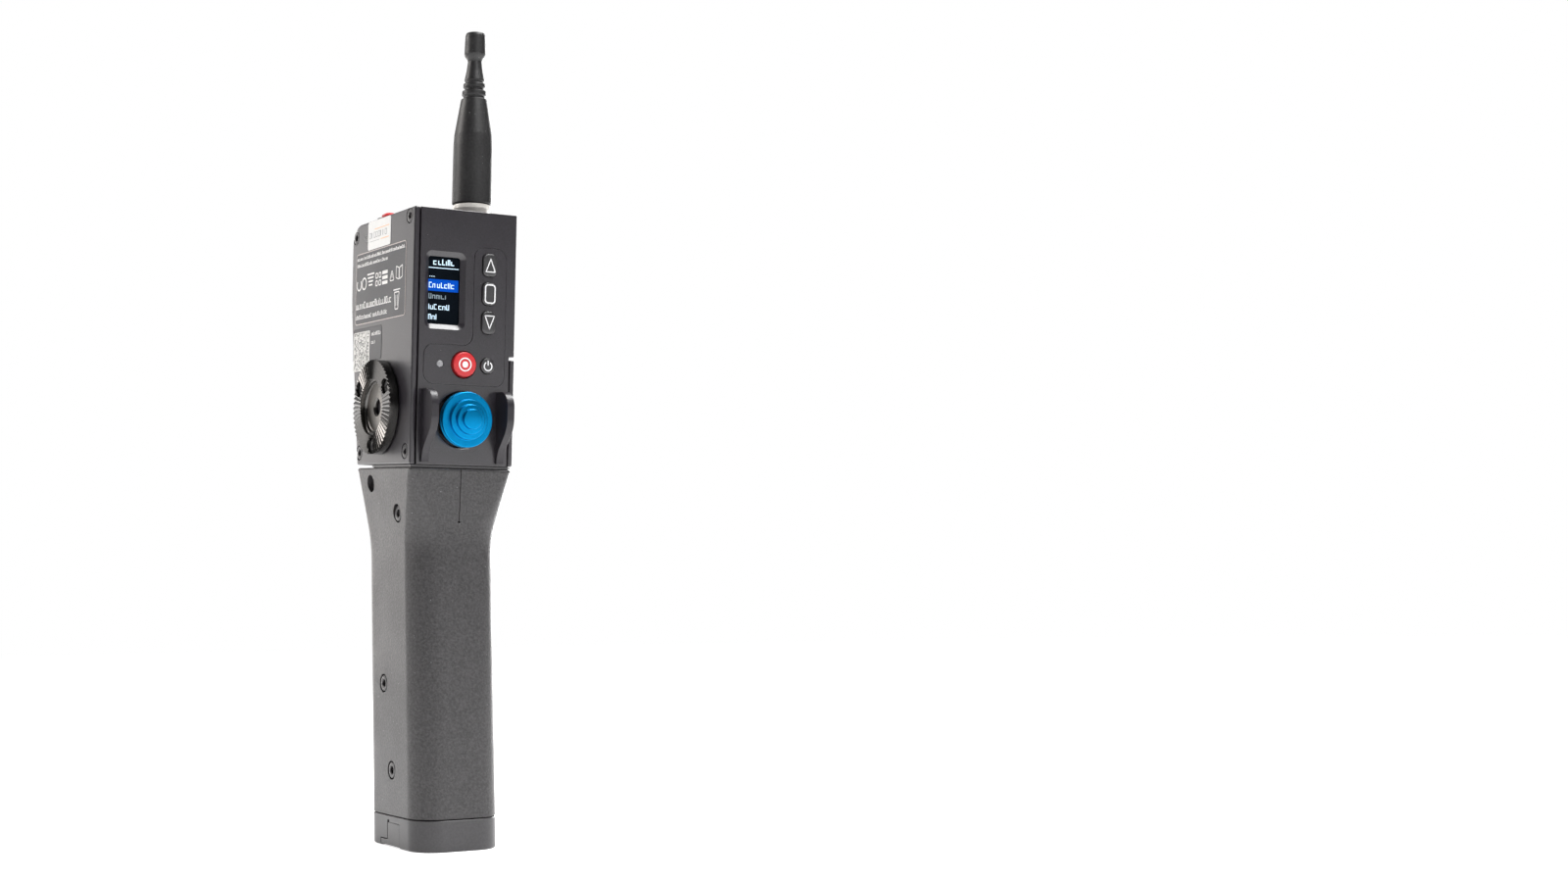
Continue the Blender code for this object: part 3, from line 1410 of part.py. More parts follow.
def make_grip_screws():
    """Three recessed socket screws on each side of the grip."""
    sleeve_side = BAY_W / 2 - SEAT
    battery_side = sleeve_side - SLEEVE_T
    low_top = sleeve_side + SEAT + GRIP_SCREW_HEAD_T
    low_reach = SEAT + sleeve_side - battery_side
    upper_reach = upper_screw_top() - GRIP_SCREW_HEAD_T - TENON_W / 2 + TENON_SCREW_REACH
    places = [
        (UPPER_SCREW_Y, UPPER_SCREW_Z, upper_screw_top(), upper_reach),
        (MIDDLE_SCREW_Y, MIDDLE_SCREW_Z, low_top, low_reach),
        (LOWER_SCREW_Y, LOWER_SCREW_Z, low_top, low_reach),
    ]
    for side, label in ((-1, "left"), (1, "right")):
        stand = RIGHTWARD if side > 0 else LEFTWARD
        for index, (y, z, out, reach) in enumerate(places, 1):
            mesh = socket_screw(
                GRIP_SCREW_HEAD_R,
                GRIP_SCREW_HEAD_T,
                GRIP_SCREW_SHANK_R,
                reach,
                GRIP_SOCKET_R,
                GRIP_SOCKET_D,
                stand,
                (side * out, y, z),
            )
            piece(f"grip_screw_{label}_{index}", mesh, "black steel")


def make_battery():
    """The sleeve and contacts in the grip, and the battery pack on its foot with the two release tabs."""
    outer_w = BAY_W - 2 * SEAT
    outer_d = BAY_D - 2 * SEAT
    outer_r = BAY_R - SEAT
    inner_w = outer_w - 2 * SLEEVE_T
    inner_d = outer_d - 2 * SLEEVE_T
    inner_r = outer_r - SLEEVE_T
    outer = rounded_rectangle(outer_w, outer_d, outer_r)
    inner = rounded_rectangle(inner_w, inner_d, inner_r)
    sleeve = piece(
        "battery_sleeve", slab([outer, inner], "flat", SLEEVE_LOW, SLEEVE_TOP), "black plastic"
    )
    holes = []
    for side in (-1, 1):
        for y, z in ((MIDDLE_SCREW_Y, MIDDLE_SCREW_Z), (LOWER_SCREW_Y, LOWER_SCREW_Z)):
            start = side * (inner_w / 2 - SLEEVE_T)
            holes.append(rod((side * GRIP_W, y, z), (start, y, z), GRIP_SCREW_SHANK_R + FIT))
    cut(sleeve, gathered(holes))
    contacts = rounded_rectangle(inner_w - 2 * SEAT, inner_d - 2 * SEAT, inner_r - SEAT)
    low = BATTERY_TOP + SEAT
    piece("battery_contacts", slab([contacts], "flat", low, low + CONTACTS_T), "gold contact")
    pack_w = inner_w - 2 * BATTERY_FIT
    pack_d = inner_d - 2 * BATTERY_FIT
    pack = rounded_rectangle(pack_w, pack_d, inner_r - BATTERY_FIT)
    piece("battery_pack", slab([pack], "flat", FOOT_TOP, BATTERY_TOP), "smooth charcoal")
    make_foot()


def tab_outline(grow=0.0, low=TAB_LOW):
    """A release tab seen from the side, as (y, z)."""
    return [
        (TAB_FRONT - grow, low),
        (TAB_HEEL + grow, low),
        (TAB_HEEL + grow, TAB_HEEL_H + grow),
        (TAB_BACK + grow, TAB_HEEL_H + grow),
        (TAB_BACK + grow, TAB_TOP + grow),
        (TAB_FRONT - grow, TAB_TOP + grow),
    ]


def make_foot():
    """The battery's foot, on which the whole stands, with a release tab in each side."""
    rings = []
    for turn in (math.radians(0), math.radians(45), math.radians(90)):
        drawn = FOOT_ROUND * (1 - math.sin(turn))
        height = FOOT_ROUND * (1 - math.cos(turn))
        width = GRIP_W - 2 * drawn
        depth = GRIP_D - 2 * drawn
        outline = rounded_rectangle(width, depth, GRIP_R - drawn, steps=GRIP_ARC_STEPS)
        rings.append([(x, y, height) for x, y in outline])
    outline = rounded_rectangle(GRIP_W, GRIP_D, GRIP_R, steps=GRIP_ARC_STEPS)
    rings.append([(x, y, FOOT_H) for x, y in outline])
    foot = piece("battery_foot", loft(rings), "smooth charcoal")
    half = GRIP_W / 2
    reach = half - TAB_T - TAB_TRAVEL - SEAT
    notches = []
    for side, label in ((-1, "left"), (1, "right")):
        pocket = slab([tab_outline(FIT, -OVERRUN)], "side", *sorted((side * GRIP_W, side * reach)))
        cut(foot, pocket)
        near = side * (half - TAB_NOTCH_D)
        low = (min(near, side * GRIP_W), TAB_BACK - TAB_NOTCH_W, TAB_TOP)
        high = (max(near, side * GRIP_W), TAB_BACK, TAB_TOP + TAB_NOTCH_H)
        notches.append(block(low, high))
        tab = slab([tab_outline()], "side", *sorted((-side * TAB_T, 0.0)))
        piece(f"battery_latch_{label}", tab, "smooth charcoal", at=(side * half, 0, 0))
    cut(foot, gathered(notches))


def main():
    start_scene()
    head = bpy.data.objects.new("head_frame", None)
    pieces.objects.link(head)
    head.location = (0, -HEAD_LEAD, HEAD_BASE_H)
    head.rotation_euler = (TILT, 0, 0)
    make_front_panel(head)
    make_display(head)
    make_keys(head)
    make_boards(head)
    make_housing(head)
    make_covers(head)
    make_rosettes(head)
    make_radio(head)
    make_top_button(head)
    make_port("camera_socket", CAMERA_SOCKET_Z, REAR_HIGH, CAMERA_FLANGE_R, CAMERA_BORE_R, head)
    make_port("bus_socket", BUS_SOCKET_Z, bus_seat(), BUS_FLANGE_R, BUS_BORE_R, head)
    make_zoom_rocker(head)
    make_guards(head)
    make_tenon(head)
    make_grip()
    make_battery()


main()
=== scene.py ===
"""Looks of a hand-held zoom demand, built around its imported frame.

Pieces are modelled in millimetres, in the head's own frame or in the frame of the whole, and each is
put in place, in metres, when it is published. The front panel faces -Y and the labelled side is -X.
"""

import math
import random

import bmesh
import bpy
from bpy.props import FloatProperty, FloatVectorProperty, IntProperty, PointerProperty
from mathutils import Matrix, Vector


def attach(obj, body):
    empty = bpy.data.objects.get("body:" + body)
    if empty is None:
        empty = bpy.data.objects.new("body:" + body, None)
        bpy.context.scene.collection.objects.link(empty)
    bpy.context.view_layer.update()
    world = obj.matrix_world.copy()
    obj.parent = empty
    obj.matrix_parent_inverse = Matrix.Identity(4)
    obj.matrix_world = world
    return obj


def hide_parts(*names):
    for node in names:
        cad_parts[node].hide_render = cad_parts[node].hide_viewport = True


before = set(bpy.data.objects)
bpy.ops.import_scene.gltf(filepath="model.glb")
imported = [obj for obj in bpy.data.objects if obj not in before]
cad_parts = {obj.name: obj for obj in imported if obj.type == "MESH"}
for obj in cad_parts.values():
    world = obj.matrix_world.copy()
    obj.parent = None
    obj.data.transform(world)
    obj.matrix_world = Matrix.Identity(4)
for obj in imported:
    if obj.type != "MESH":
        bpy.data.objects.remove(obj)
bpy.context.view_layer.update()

bl_info = {
    "name": "Zoom demand looks",
    "version": (1, 0, 0),
    "blender": (4, 5, 0),
    "location": "3D View > Sidebar > Zoom demand",
    "description": "Builds the visible pieces and finishes of a hand-held zoom demand",
    "category": "Object",
}

# Frames, in metres
MILLIMETRES = Matrix.Scale(0.001, 4)
WHOLE = Matrix.Identity(4)
HEAD_TILT = math.radians(4.8)
HEAD_Z = 127.4
HEAD = Matrix.Translation((0, -0.0028, HEAD_Z / 1000)) @ Matrix.Rotation(HEAD_TILT, 4, "X")

# The head's frame for shapes still in millimetres
HEAD_IN_MM = MILLIMETRES.inverted() @ HEAD @ MILLIMETRES

# Ways to stand a shape that is turned about Z
UPRIGHT = Matrix.Identity(4)
FORWARD = Matrix.Rotation(math.radians(90), 4, "X")
REARWARD = Matrix.Rotation(math.radians(-90), 4, "X")
SIDES = (
    (-1, "left", Matrix.Rotation(math.radians(-90), 4, "Y")),
    (1, "right", Matrix.Rotation(math.radians(90), 4, "Y")),
)
LEFTWARD = SIDES[0][2]

# Main sizes of the frame, in millimetres
SIDE = 18.6
COVER_T = 2.0
FRONT = -22.8
TOP = 83.9
REAR_LOW = 22.8
REAR_HIGH = 31.2
KNEE_H = 55.0
KNEE_R = 80.0
SHOULDER_R = 7.3
BODY_SIDE = 16.3
BODY_FRONT = -16.8
RIGHT_EDGE = 16.75
RIGHT_PLATE = (17.0, 18.8)
SLOT_LOW = 35.5
RADIO_LOW = 36.5
RADIO_X = 3.0
PANEL_T = 2.2
TRAY_BACK = -17.1
DISPLAY = (-7.15, 57.1)
WINDOW = (11.4, 22.2, 0.9)
BEZEL_W = 1.65
BEZEL_D = 1.2
GLASS_FRONT = -21.1
KEY_X = 8.6
KEY_HEIGHTS = {"up_key": 66.4, "select_key": 56.9, "down_key": 47.4}
KEY = (5.0, 7.5, 1.9)
ROW_Z = 33.1
LED_X = -8.5
TOP_BUTTON = (-12.4, 12.6)
KNOB_Z = 14.9
KNOB_R = 9.15
PIVOT_Y = -10.8
GUARD_X = 13.6
ROSETTE = (2.2, 19.25)
ROSETTE_R = 15.875
ROSETTE_PROUD = 3.8
ROSETTE_TEETH = 60
RECESS_R = 9.5
RECESS_D = 2.4
ANTENNA = (9.85, -5.8)
SOCKET_X = -6
CAMERA_Z, BUS_Z = 66.0, 43.0
BUS_SEAT = 27.6
GRIP = (31.0, 45.2, 9.5)
GRIP_TOP = (37.2, 45.6, 1.5)
GRIP_LOW = 10.5
FLARE_L = 30.0
FLARE_EASE = 0.4
NECK_GAP = 1.05
SLIT_LOW = 107.0
FOOT_H = 10.2
TAB_T = 1.8

# Screws: where they sit, as (y, z), and the size of each kind, as the radius and height of its head and
# the radius and depth of its socket
COVER_SCREWS = ((-18.6, 81.3), (27.8, 79.7), (-18.6, 4.2), (20.7, 4.2))
GRIP_SCREWS = ((-10.4, 110.5), (5.3, 54.1), (-0.7, 25.4))
CLAMP_SCREW = (11.3, -6.4)
SCREW_CIRCLE_R = 12.9
ROSETTE_SCREWS = [
    (ROSETTE[0] - SCREW_CIRCLE_R * math.cos(turn), ROSETTE[1] + SCREW_CIRCLE_R * math.sin(turn))
    for turn in map(math.radians, (30, 150, 270))
]
SMALL_SCREW = (2.3, 1.3, 1.15, 0.9)
SMALL_POCKET_R = 2.65
LARGE_SCREW = (2.6, 2.1, 1.45, 1.3)
DEEP_SCREW = (2.5, 2.2, 1.45, 1.3)

# Labels on the left side, each as front, rear, low, high and corner radius
TYPE_LABEL = (-16.4, 27.2, 48.8, 73.6, 1.3)
SMALL_LABEL = (3.0, 28.4, 35.7, 47.4, 1.3)
STICKER = (-3.0, 16.9, 73.9, 83.6, 0.9)
CODE_GROUND = (13.4, 28.0, 32.6, 46.2, 0.5)

# Rows of marks on the labels, each as start, base, length, height, seed, stroke, width and gap
LABEL_ROWS = (
    (26.2, 71.2, 41.2, 1.15, 21, 0.26, 0.7, 0.2),
    (26.2, 68.9, 27.4, 1.15, 22, 0.26, 0.7, 0.2),
    (26.6, 54.2, 31.0, 2.4, 23, 0.42, 1.35, 0.34),
    (26.8, 50.7, 14.0, 1.5, 24, 0.28, 0.85, 0.24),
    (11.6, 50.7, 12.4, 1.5, 25, 0.28, 0.85, 0.24),
    (12.0, 44.2, 8.2, 1.3, 26, 0.26, 0.75, 0.22),
    (12.0, 41.4, 3.6, 1.3, 27, 0.26, 0.75, 0.22),
)

# The antenna's outline, as shares of its radius and height with a rounding in millimetres
WHIP = (
    (0, 1), (0.45, 1, 0.3), (0.5, 0.985, 0.4), (0.515, 0.95, 0.5), (0.535, 0.877, 0.35), (0.5, 0.865, 0.3),
    (0.385, 0.847, 0.5), (0.35, 0.834, 0.4), (0.41, 0.78, 1.5), (0.5, 0.728, 0.4), (0.5, 0.722, 0.12),
    (0.455, 0.717, 0.12), (0.455, 0.709, 0.12), (0.55, 0.703, 0.15), (0.56, 0.684, 0.2),
    (0.475, 0.677, 0.12), (0.475, 0.668, 0.12), (0.6, 0.661, 0.15), (0.61, 0.638, 0.2),
    (0.54, 0.63, 0.12), (0.54, 0.62, 0.12), (0.655, 0.612, 0.15), (0.69, 0.59, 0.5),
    (0.955, 0.405, 3.0), (0.985, 0.34, 1.0), (1, 0, 0.5), (0, 0),
)

# Lamps, each as name, place, target, width, height, power and colour
WARM, NEUTRAL = (1.0, 0.96, 0.925), (1, 1, 1)
LAMPS = (
    ("key", (0.15, -0.8, 0.95), (0, 0, 0.17), 0.4, 0.4, 5.5, NEUTRAL),
    ("top", (0.40, -0.16, 1.1), (0, 0, 0.18), 0.45, 0.45, 13.0, NEUTRAL),
    ("left", (-0.86, 0.55, 0.76), (0, 0, 0.16), 0.45, 0.45, 7.0, WARM),
    ("low_front", (0.62, -1.35, 0.05), (0, 0, 0.10), 1.2, 0.08, 0.85, NEUTRAL),
    ("back_left", (-0.27, 1.35, 0.20), (0, 0, 0.14), 0.3, 0.8, 3.9, WARM),
    ("back_right", (0.85, 0.75, 0.28), (0, 0, 0.14), 0.5, 1.1, 18.0, NEUTRAL),
)

# Finishes, each as the material's name where it differs, colour or the setting that holds it, roughness
# (low, high), grain (scale, dark, light) and what else the finish has
DUST = (0.35, 0.34, 0.33)
BARE = (0.30, 0.30, 0.31)
FINE_BUMP = (0.12, 0.00003)
METAL_BUMP = (0.1, 0.00003)
METAL_DUST = (360.0, 0.055, 0.12, DUST)
SCREEN_ROUGH, SCREEN_GRAIN = (0.1, 0.14), (6000.0, 0.8, 1.1)
FINISHES = {
    "black_anodised": (
        "black_anodised_metal", "anodised", (0.27, 0.33), (2600.0, 0.55, 1.5),
        dict(specular=0.8, bump=FINE_BUMP, wear_and_highlight=(0.0003, 0.35, BARE), dust=METAL_DUST),
    ),
    "smooth_black": (
        "smooth_black_metal", "anodised", (0.34, 0.4), (2600.0, 0.7, 1.3),
        dict(specular=0.45, wear_and_highlight=(0.0003, 0.2, BARE), dust=METAL_DUST),
    ),
    "textured_charcoal": (
        "textured_grip_plastic", "grip", (0.38, 0.48), (1300.0, 0.45, 1.65),
        dict(specular=0.6, bump=(0.8, 0.00014), dust=(700.0, 0.14, 0.12, (0.22, 0.22, 0.23))),
    ),
    "smooth_charcoal": (
        "smooth_foot_plastic", "foot", (0.32, 0.40), (1400.0, 0.85, 1.15),
        dict(bump=FINE_BUMP, dust=(420.0, 0.07, 0.08, DUST)),
    ),
    "black_plastic": (
        "key_plastic", "keys", (0.30, 0.38), (2200.0, 0.7, 1.3),
        dict(specular=0.8, bump=FINE_BUMP, dust=(520.0, 0.06, 0.06, DUST)),
    ),
    "red_plastic": (
        "record_plastic", "record", (0.34, 0.42), (1500.0, 0.94, 1.06), dict(bump=(0.08, 0.00003))
    ),
    "azure_anodised": (
        "azure_anodised_metal", "knob", (0.34, 0.40), (2400.0, 0.93, 1.07),
        dict(metallic=0.88, specular=0.3, bump=(0.04, 0.00002), rings=26000.0),
    ),
    "black_rubber": (
        "matt_rubber", "rubber", (0.42, 0.52), (1300.0, 0.5, 1.6),
        dict(specular=0.55, bump=(0.5, 0.0001), dust=(800.0, 0.16, 0.3, (0.16, 0.16, 0.16))),
    ),
    "pale_metal": (
        "nickel_collar", (0.88, 0.85, 0.80), (0.30, 0.40), (900.0, 0.93, 1.05), dict(metallic=0.2)
    ),
    "bright_steel": (
        "bright_steel_parts", (0.56, 0.56, 0.57), (0.22, 0.34), (800.0, 0.9, 1.08), dict(metallic=1.0)
    ),
    # Its pale edge colour is partly wear and partly a painted highlight on the screws' rims and sockets.
    "black_steel": (
        "black_screw_steel", (0.055, 0.053, 0.055), (0.32, 0.42), (1800.0, 0.7, 1.3),
        dict(metallic=0.5, wear_and_highlight=(0.00022, 0.9, (0.5, 0.49, 0.48))),
    ),
    "milky_plastic": ("status_light", (0.30, 0.30, 0.31), (0.28, 0.34), (700.0, 0.92, 1.08), {}),
    "circuit_board": ("green_board", (0.012, 0.12, 0.05), (0.34, 0.46), (1500.0, 0.7, 1.2), {}),
    "gold_contact": (
        "gold_contacts", (0.78, 0.55, 0.22), (0.24, 0.34), (1200.0, 0.9, 1.08), dict(metallic=1.0)
    ),
    "display_glass": (
        "display_cover_glass", (0.004, 0.006, 0.009), (0.05, 0.08), (300.0, 0.9, 1.1), dict(specular=0.08)
    ),
    # Its pale beige edge colour is partly wear and partly a painted highlight on the teeth's crests.
    "machined_ring": (
        "machined_ring_metal", (0.11, 0.106, 0.103), (0.18, 0.23), (2600.0, 0.8, 1.2),
        dict(metallic=1.0, bump=METAL_BUMP, wear_and_highlight=(0.00014, 0.5, (0.62, 0.58, 0.52))),
    ),
    "machined_seat": (
        "machined_seat_metal", (0.30, 0.28, 0.26), (0.26, 0.34), (2600.0, 0.85, 1.12),
        dict(metallic=1.0, bump=METAL_BUMP),
    ),
    "white_print": ("", "prints", (0.44, 0.52), (1600.0, 0.94, 1.04), {}),
    "key_print": ("", (0.86, 0.86, 0.87), (0.40, 0.46), (1600.0, 0.97, 1.02), {}),
    "label_field": ("", (0.03, 0.031, 0.036), (0.42, 0.5), (2600.0, 0.7, 1.3), dict(bump=(0.2, 0.00003))),
    "label_line": ("", (0.50, 0.44, 0.42), (0.45, 0.52), (1200.0, 0.75, 1.2), {}),
    "label_dark_line": ("", (0.02, 0.02, 0.021), (0.5, 0.56), (1200.0, 0.75, 1.2), {}),
    "sticker_white": ("", (0.74, 0.74, 0.73), (0.36, 0.44), (400.0, 0.97, 1.02), {}),
    "sticker_accent": ("", "accent", (0.4, 0.46), (800.0, 0.95, 1.05), {}),
    "sticker_grey": ("", (0.22, 0.22, 0.23), (0.4, 0.46), (800.0, 0.95, 1.05), {}),
    "code_ground": ("", (0.62, 0.61, 0.59), (0.44, 0.5), (900.0, 0.96, 1.03), {}),
    "code_cells": ("", (0.16, 0.16, 0.155), (0.45, 0.5), (900.0, 0.9, 1.1), {}),
    "screen_highlight": ("", "screen", SCREEN_ROUGH, SCREEN_GRAIN, dict(glow=0.3)),
    "screen_marks": ("", (0.55, 0.72, 0.85), SCREEN_ROUGH, SCREEN_GRAIN, dict(glow=0.75)),
    "screen_dim_marks": ("", (0.2, 0.26, 0.3), SCREEN_ROUGH, SCREEN_GRAIN, dict(glow=0.5)),
}


def colour_setting(name, description, default):
    """A colour for the user to change."""
    return FloatVectorProperty(
        name=name, description=description, subtype="COLOR", default=default, min=0, max=1
    )


def length_setting(name, description, default):
    """A length for the user to change."""
    return FloatProperty(name=name, description=description, unit="LENGTH", default=default)


class ZoomDemandColours(bpy.types.PropertyGroup):
    """Colours of the zoom demand that a user would change."""

    anodised: colour_setting("Anodised metal", "Black aluminium of the head", (0.018, 0.0155, 0.020))
    grip: colour_setting("Grip", "Textured plastic of the grip", (0.034, 0.032, 0.0335))
    foot: colour_setting("Foot", "Smooth plastic of the battery's foot", (0.046, 0.044, 0.047))
    keys: colour_setting("Keys", "Plastic of the keys", (0.024, 0.023, 0.025))
    record: colour_setting("Record button", "Red plastic of two buttons", (0.58, 0.026, 0.032))
    knob: colour_setting("Zoom knob", "Azure anodised aluminium of the zoom knob", (0.0, 0.195, 0.43))
    rubber: colour_setting("Rubber", "Rubber of the antenna and the knob's seal", (0.011, 0.0106, 0.0112))
    prints: colour_setting("Print", "White print on the labels", (0.78, 0.77, 0.76))
    accent: colour_setting("Sticker accent", "Thin bars on the white sticker", (0.86, 0.42, 0.12))
    screen: colour_setting("Screen highlight", "Highlighted row on the display", (0.0, 0.065, 0.45))


class ZoomDemandSizes(bpy.types.PropertyGroup):
    """Sizes of the zoom demand's details that a user would change."""

    panel_round: length_setting("Panel edge", "Rounding of the panel's edges", 0.0003)
    cover_round: length_setting("Cover edge", "Rounding of the side plates' edges", 0.0006)
    print_height: length_setting("Print height", "How far print stands off its surface", 0.00003)
    tooth_depth: length_setting("Tooth depth", "Depth of the rosettes' teeth at the rim", 0.00058)
    round_steps: IntProperty(
        name="Round steps", description="Steps round the knob and the front's buttons",
        default=96, min=12, max=256,
    )


class ZoomDemandSettings(bpy.types.PropertyGroup):
    """All settings of the zoom demand's looks."""

    colours: PointerProperty(type=ZoomDemandColours)
    sizes: PointerProperty(type=ZoomDemandSizes)


def in_mm(length):
    """A length property in millimetres."""
    return length * 1000


# Modelling with bmesh operators


def spot(plane, across, up, depth):
    """A point given in a plane: front is (x, z), side is (y, z) and flat is (x, y)."""
    if plane == "front":
        return Vector((across, depth, up))
    if plane == "side":
        return Vector((depth, across, up))
    return Vector((across, up, depth))


def box(left, right, low, high, radius=0.0):
    """The corners of a rounded box between bounds."""
    return [(left, low, radius), (right, low, radius), (right, high, radius), (left, high, radius)]


def rectangle(width, height, radius=0.0, centre=(0, 0)):
    """The corners of a rounded rectangle about a centre."""
    x, y = centre
    return box(x - width / 2, x + width / 2, y - height / 2, y + height / 2, radius)


def rounded(bm, parts, offset, segments, affect):
    """Rounds vertices or edges; only edges are kept from overlapping."""
    bmesh.ops.bevel(
        bm, geom=parts, offset=offset, offset_type="OFFSET", segments=segments, profile=0.5,
        affect=affect, material=-1, clamp_overlap=affect == "EDGES",
    )


def round_corner(bm, vert, radius, steps):
    """Rounds one corner of a flat outline."""
    ways = [(edge.other_vert(vert).co - vert.co).normalized() for edge in vert.link_edges]
    rounded(bm, [vert], radius / math.tan(ways[0].angle(ways[1]) / 2), steps, "VERTICES")


def soften(bm, radius, segments):
    """Rounds the sharp edges of a solid."""
    bm.normal_update()
    inner = [edge for edge in bm.edges if len(edge.link_faces) == 2]
    sharp = [edge for edge in inner if edge.calc_face_angle() > math.radians(40)]
    rounded(bm, sharp, radius, segments, "EDGES")


def flat_face(bm, corners, plane, depth, steps):
    """A flat face through (across, up, radius) corners."""
    verts = [bm.verts.new(spot(plane, corner[0], corner[1], depth)) for corner in corners]
    bm.faces.new(verts)
    for vert, corner in zip(verts, corners):
        if len(corner) > 2 and corner[2]:
            round_corner(bm, vert, corner[2], steps)


def thicken(bm, offset):
    """Pushes copies of flat faces along an offset, so that they close a solid."""
    made = bmesh.ops.extrude_face_region(bm, geom=list(bm.faces), use_keep_orig=True)
    moved = [part for part in made["geom"] if isinstance(part, bmesh.types.BMVert)]
    bmesh.ops.translate(bm, verts=moved, vec=offset)


def outwards(bm):
    """Turns the faces of closed shapes outwards."""
    bm.normal_update()
    bmesh.ops.recalc_face_normals(bm, faces=bm.faces)
    if bm.calc_volume(signed=True) < 0:
        bmesh.ops.reverse_faces(bm, faces=bm.faces)
    return bm


def plate(corners, plane, start, end, steps=8, soft=0.0, segments=3):
    """A closed plate between two depths of a plane, with softened edges."""
    bm = bmesh.new()
    flat_face(bm, corners, plane, start, steps)
    thicken(bm, spot(plane, 0, 0, end - start))
    outwards(bm)
    if soft:
        soften(bm, soft, segments)
    return bm


def frame_plate(corners, plane, start, end, stroke, steps=8):
    """A closed line of a given stroke that follows an outline on its inside."""
    bm = bmesh.new()
    flat_face(bm, corners, plane, start, steps)
    outline = list(bm.faces)
    bmesh.ops.inset_individual(bm, faces=outline, thickness=stroke, use_even_offset=True)
    bmesh.ops.delete(bm, geom=outline, context="FACES_ONLY")
    thicken(bm, spot(plane, 0, 0, end - start))
    return outwards(bm)


def turned(profile, steps, stand=UPRIGHT, at=(0, 0, 0), closed=False):
    """A (radius, height[, rounding]) profile turned about Z, stood up and moved."""
    bm = bmesh.new()
    verts = [bm.verts.new((point[0], 0, point[1])) for point in profile]
    for pair in zip(verts, verts[1:] + verts[:1] if closed else verts[1:]):
        bm.edges.new(pair)
    for vert, point in zip(verts, profile):
        if len(point) > 2 and point[2]:
            round_corner(bm, vert, point[2], 4)
    bmesh.ops.spin(
        bm, geom=list(bm.verts) + list(bm.edges), cent=(0, 0, 0), axis=(0, 0, 1), dvec=(0, 0, 0),
        angle=math.tau, steps=steps, use_merge=True,
    )
    bmesh.ops.remove_doubles(bm, verts=bm.verts, dist=0.0005)
    bm.transform(Matrix.Translation(at) @ stand)
    return outwards(bm)


def pin(plane, across, up, start, end, radius, steps=48):
    """A round bar square to a plane, between two depths."""
    start, end = spot(plane, across, up, start), spot(plane, across, up, end)
    along = end - start
    matrix = Matrix.Translation((start + end) / 2) @ along.to_track_quat("Z", "Y").to_matrix().to_4x4()
    bm = bmesh.new()
    bmesh.ops.create_cone(
        bm, cap_ends=True, segments=steps, radius1=radius, radius2=radius, depth=along.length, matrix=matrix
    )
    return bm


def block(low, high):
    """A box between two corners, for carving."""
    low, high = Vector(low), Vector(high)
    bm = bmesh.new()
    matrix = Matrix.Translation((low + high) / 2) @ Matrix.Diagonal((*(high - low), 1))
    bmesh.ops.create_cube(bm, size=1, matrix=matrix)
    return bm


def loft(sections, steps=8):
    """A closed form through rounded rectangles, each (width, depth, radius, matrix)."""
    width, depth, radius, matrix = sections[0]
    bm = bmesh.new()
    flat_face(bm, rectangle(width, depth, radius), "flat", 0, steps)
    bm.transform(matrix)
    top = bm.faces[:][0]
    for old, new in zip(sections, sections[1:]):
        made = bmesh.ops.extrude_face_region(bm, geom=[top, *top.edges])
        for part in made["geom"]:
            if isinstance(part, bmesh.types.BMVert):
                part.co = restated(part.co, old, new)
            elif isinstance(part, bmesh.types.BMFace):
                top = part
    return outwards(bm)


def restated(place, old, new):
    """Where a point of one rounded rectangle lies on another."""
    local = old[3].inverted() @ Vector(place)
    found = []
    for axis in (0, 1):
        hand = math.copysign(1, local[axis])
        share = (abs(local[axis]) - (old[axis] / 2 - old[2])) / old[2]
        found.append(hand * (new[axis] / 2 - new[2] + share * new[2]))
    return new[3] @ Vector((*found, 0))


def grown(size, margin, matrix):
    """A section for lofting, (width, depth, radius) grown by a margin on every side."""
    width, depth, radius = size
    return (width + 2 * margin, depth + 2 * margin, radius + margin, matrix)


def mesh_from(shape, name):
    """A mesh with the faces of a shape, which is freed."""
    mesh = bpy.data.meshes.new(name)
    shape.to_mesh(mesh)
    shape.free()
    return mesh


def linked(name, data):
    """A new object in the scene."""
    thing = bpy.data.objects.new(name, data)
    bpy.context.scene.collection.objects.link(thing)
    return thing


def gathered(shapes):
    """Several separate shapes in one mesh."""
    whole = bmesh.new()
    for shape in shapes:
        mesh = mesh_from(shape, "shape")
        whole.from_mesh(mesh)
        bpy.data.meshes.remove(mesh)
    return whole


def carved(bm, *tools):
    """A solid less the tools' shapes."""
    things = [linked("carving", mesh_from(outwards(shape), "carving")) for shape in (bm, *tools)]
    for tool in things[1:]:
        boolean = things[0].modifiers.new("Carve", "BOOLEAN")
        boolean.operation = "DIFFERENCE"
        boolean.solver = "EXACT"
        boolean.object = tool
    bpy.context.view_layer.update()
    graph = bpy.context.evaluated_depsgraph_get()
    mesh = bpy.data.meshes.new_from_object(things[0].evaluated_get(graph))
    for thing in things:
        bpy.data.objects.remove(thing)
    made = bmesh.new()
    made.from_mesh(mesh)
    bpy.data.meshes.remove(mesh)
    bmesh.ops.remove_doubles(made, verts=made.verts, dist=0.0008)
    bmesh.ops.dissolve_degenerate(made, edges=made.edges, dist=0.0005)
    return made


def carved_by_turns(bm, *tools):
    """A solid less the tools' shapes, cleaned after each of them."""
    for tool in tools:
        bm = carved(bm, tool)
    return bm


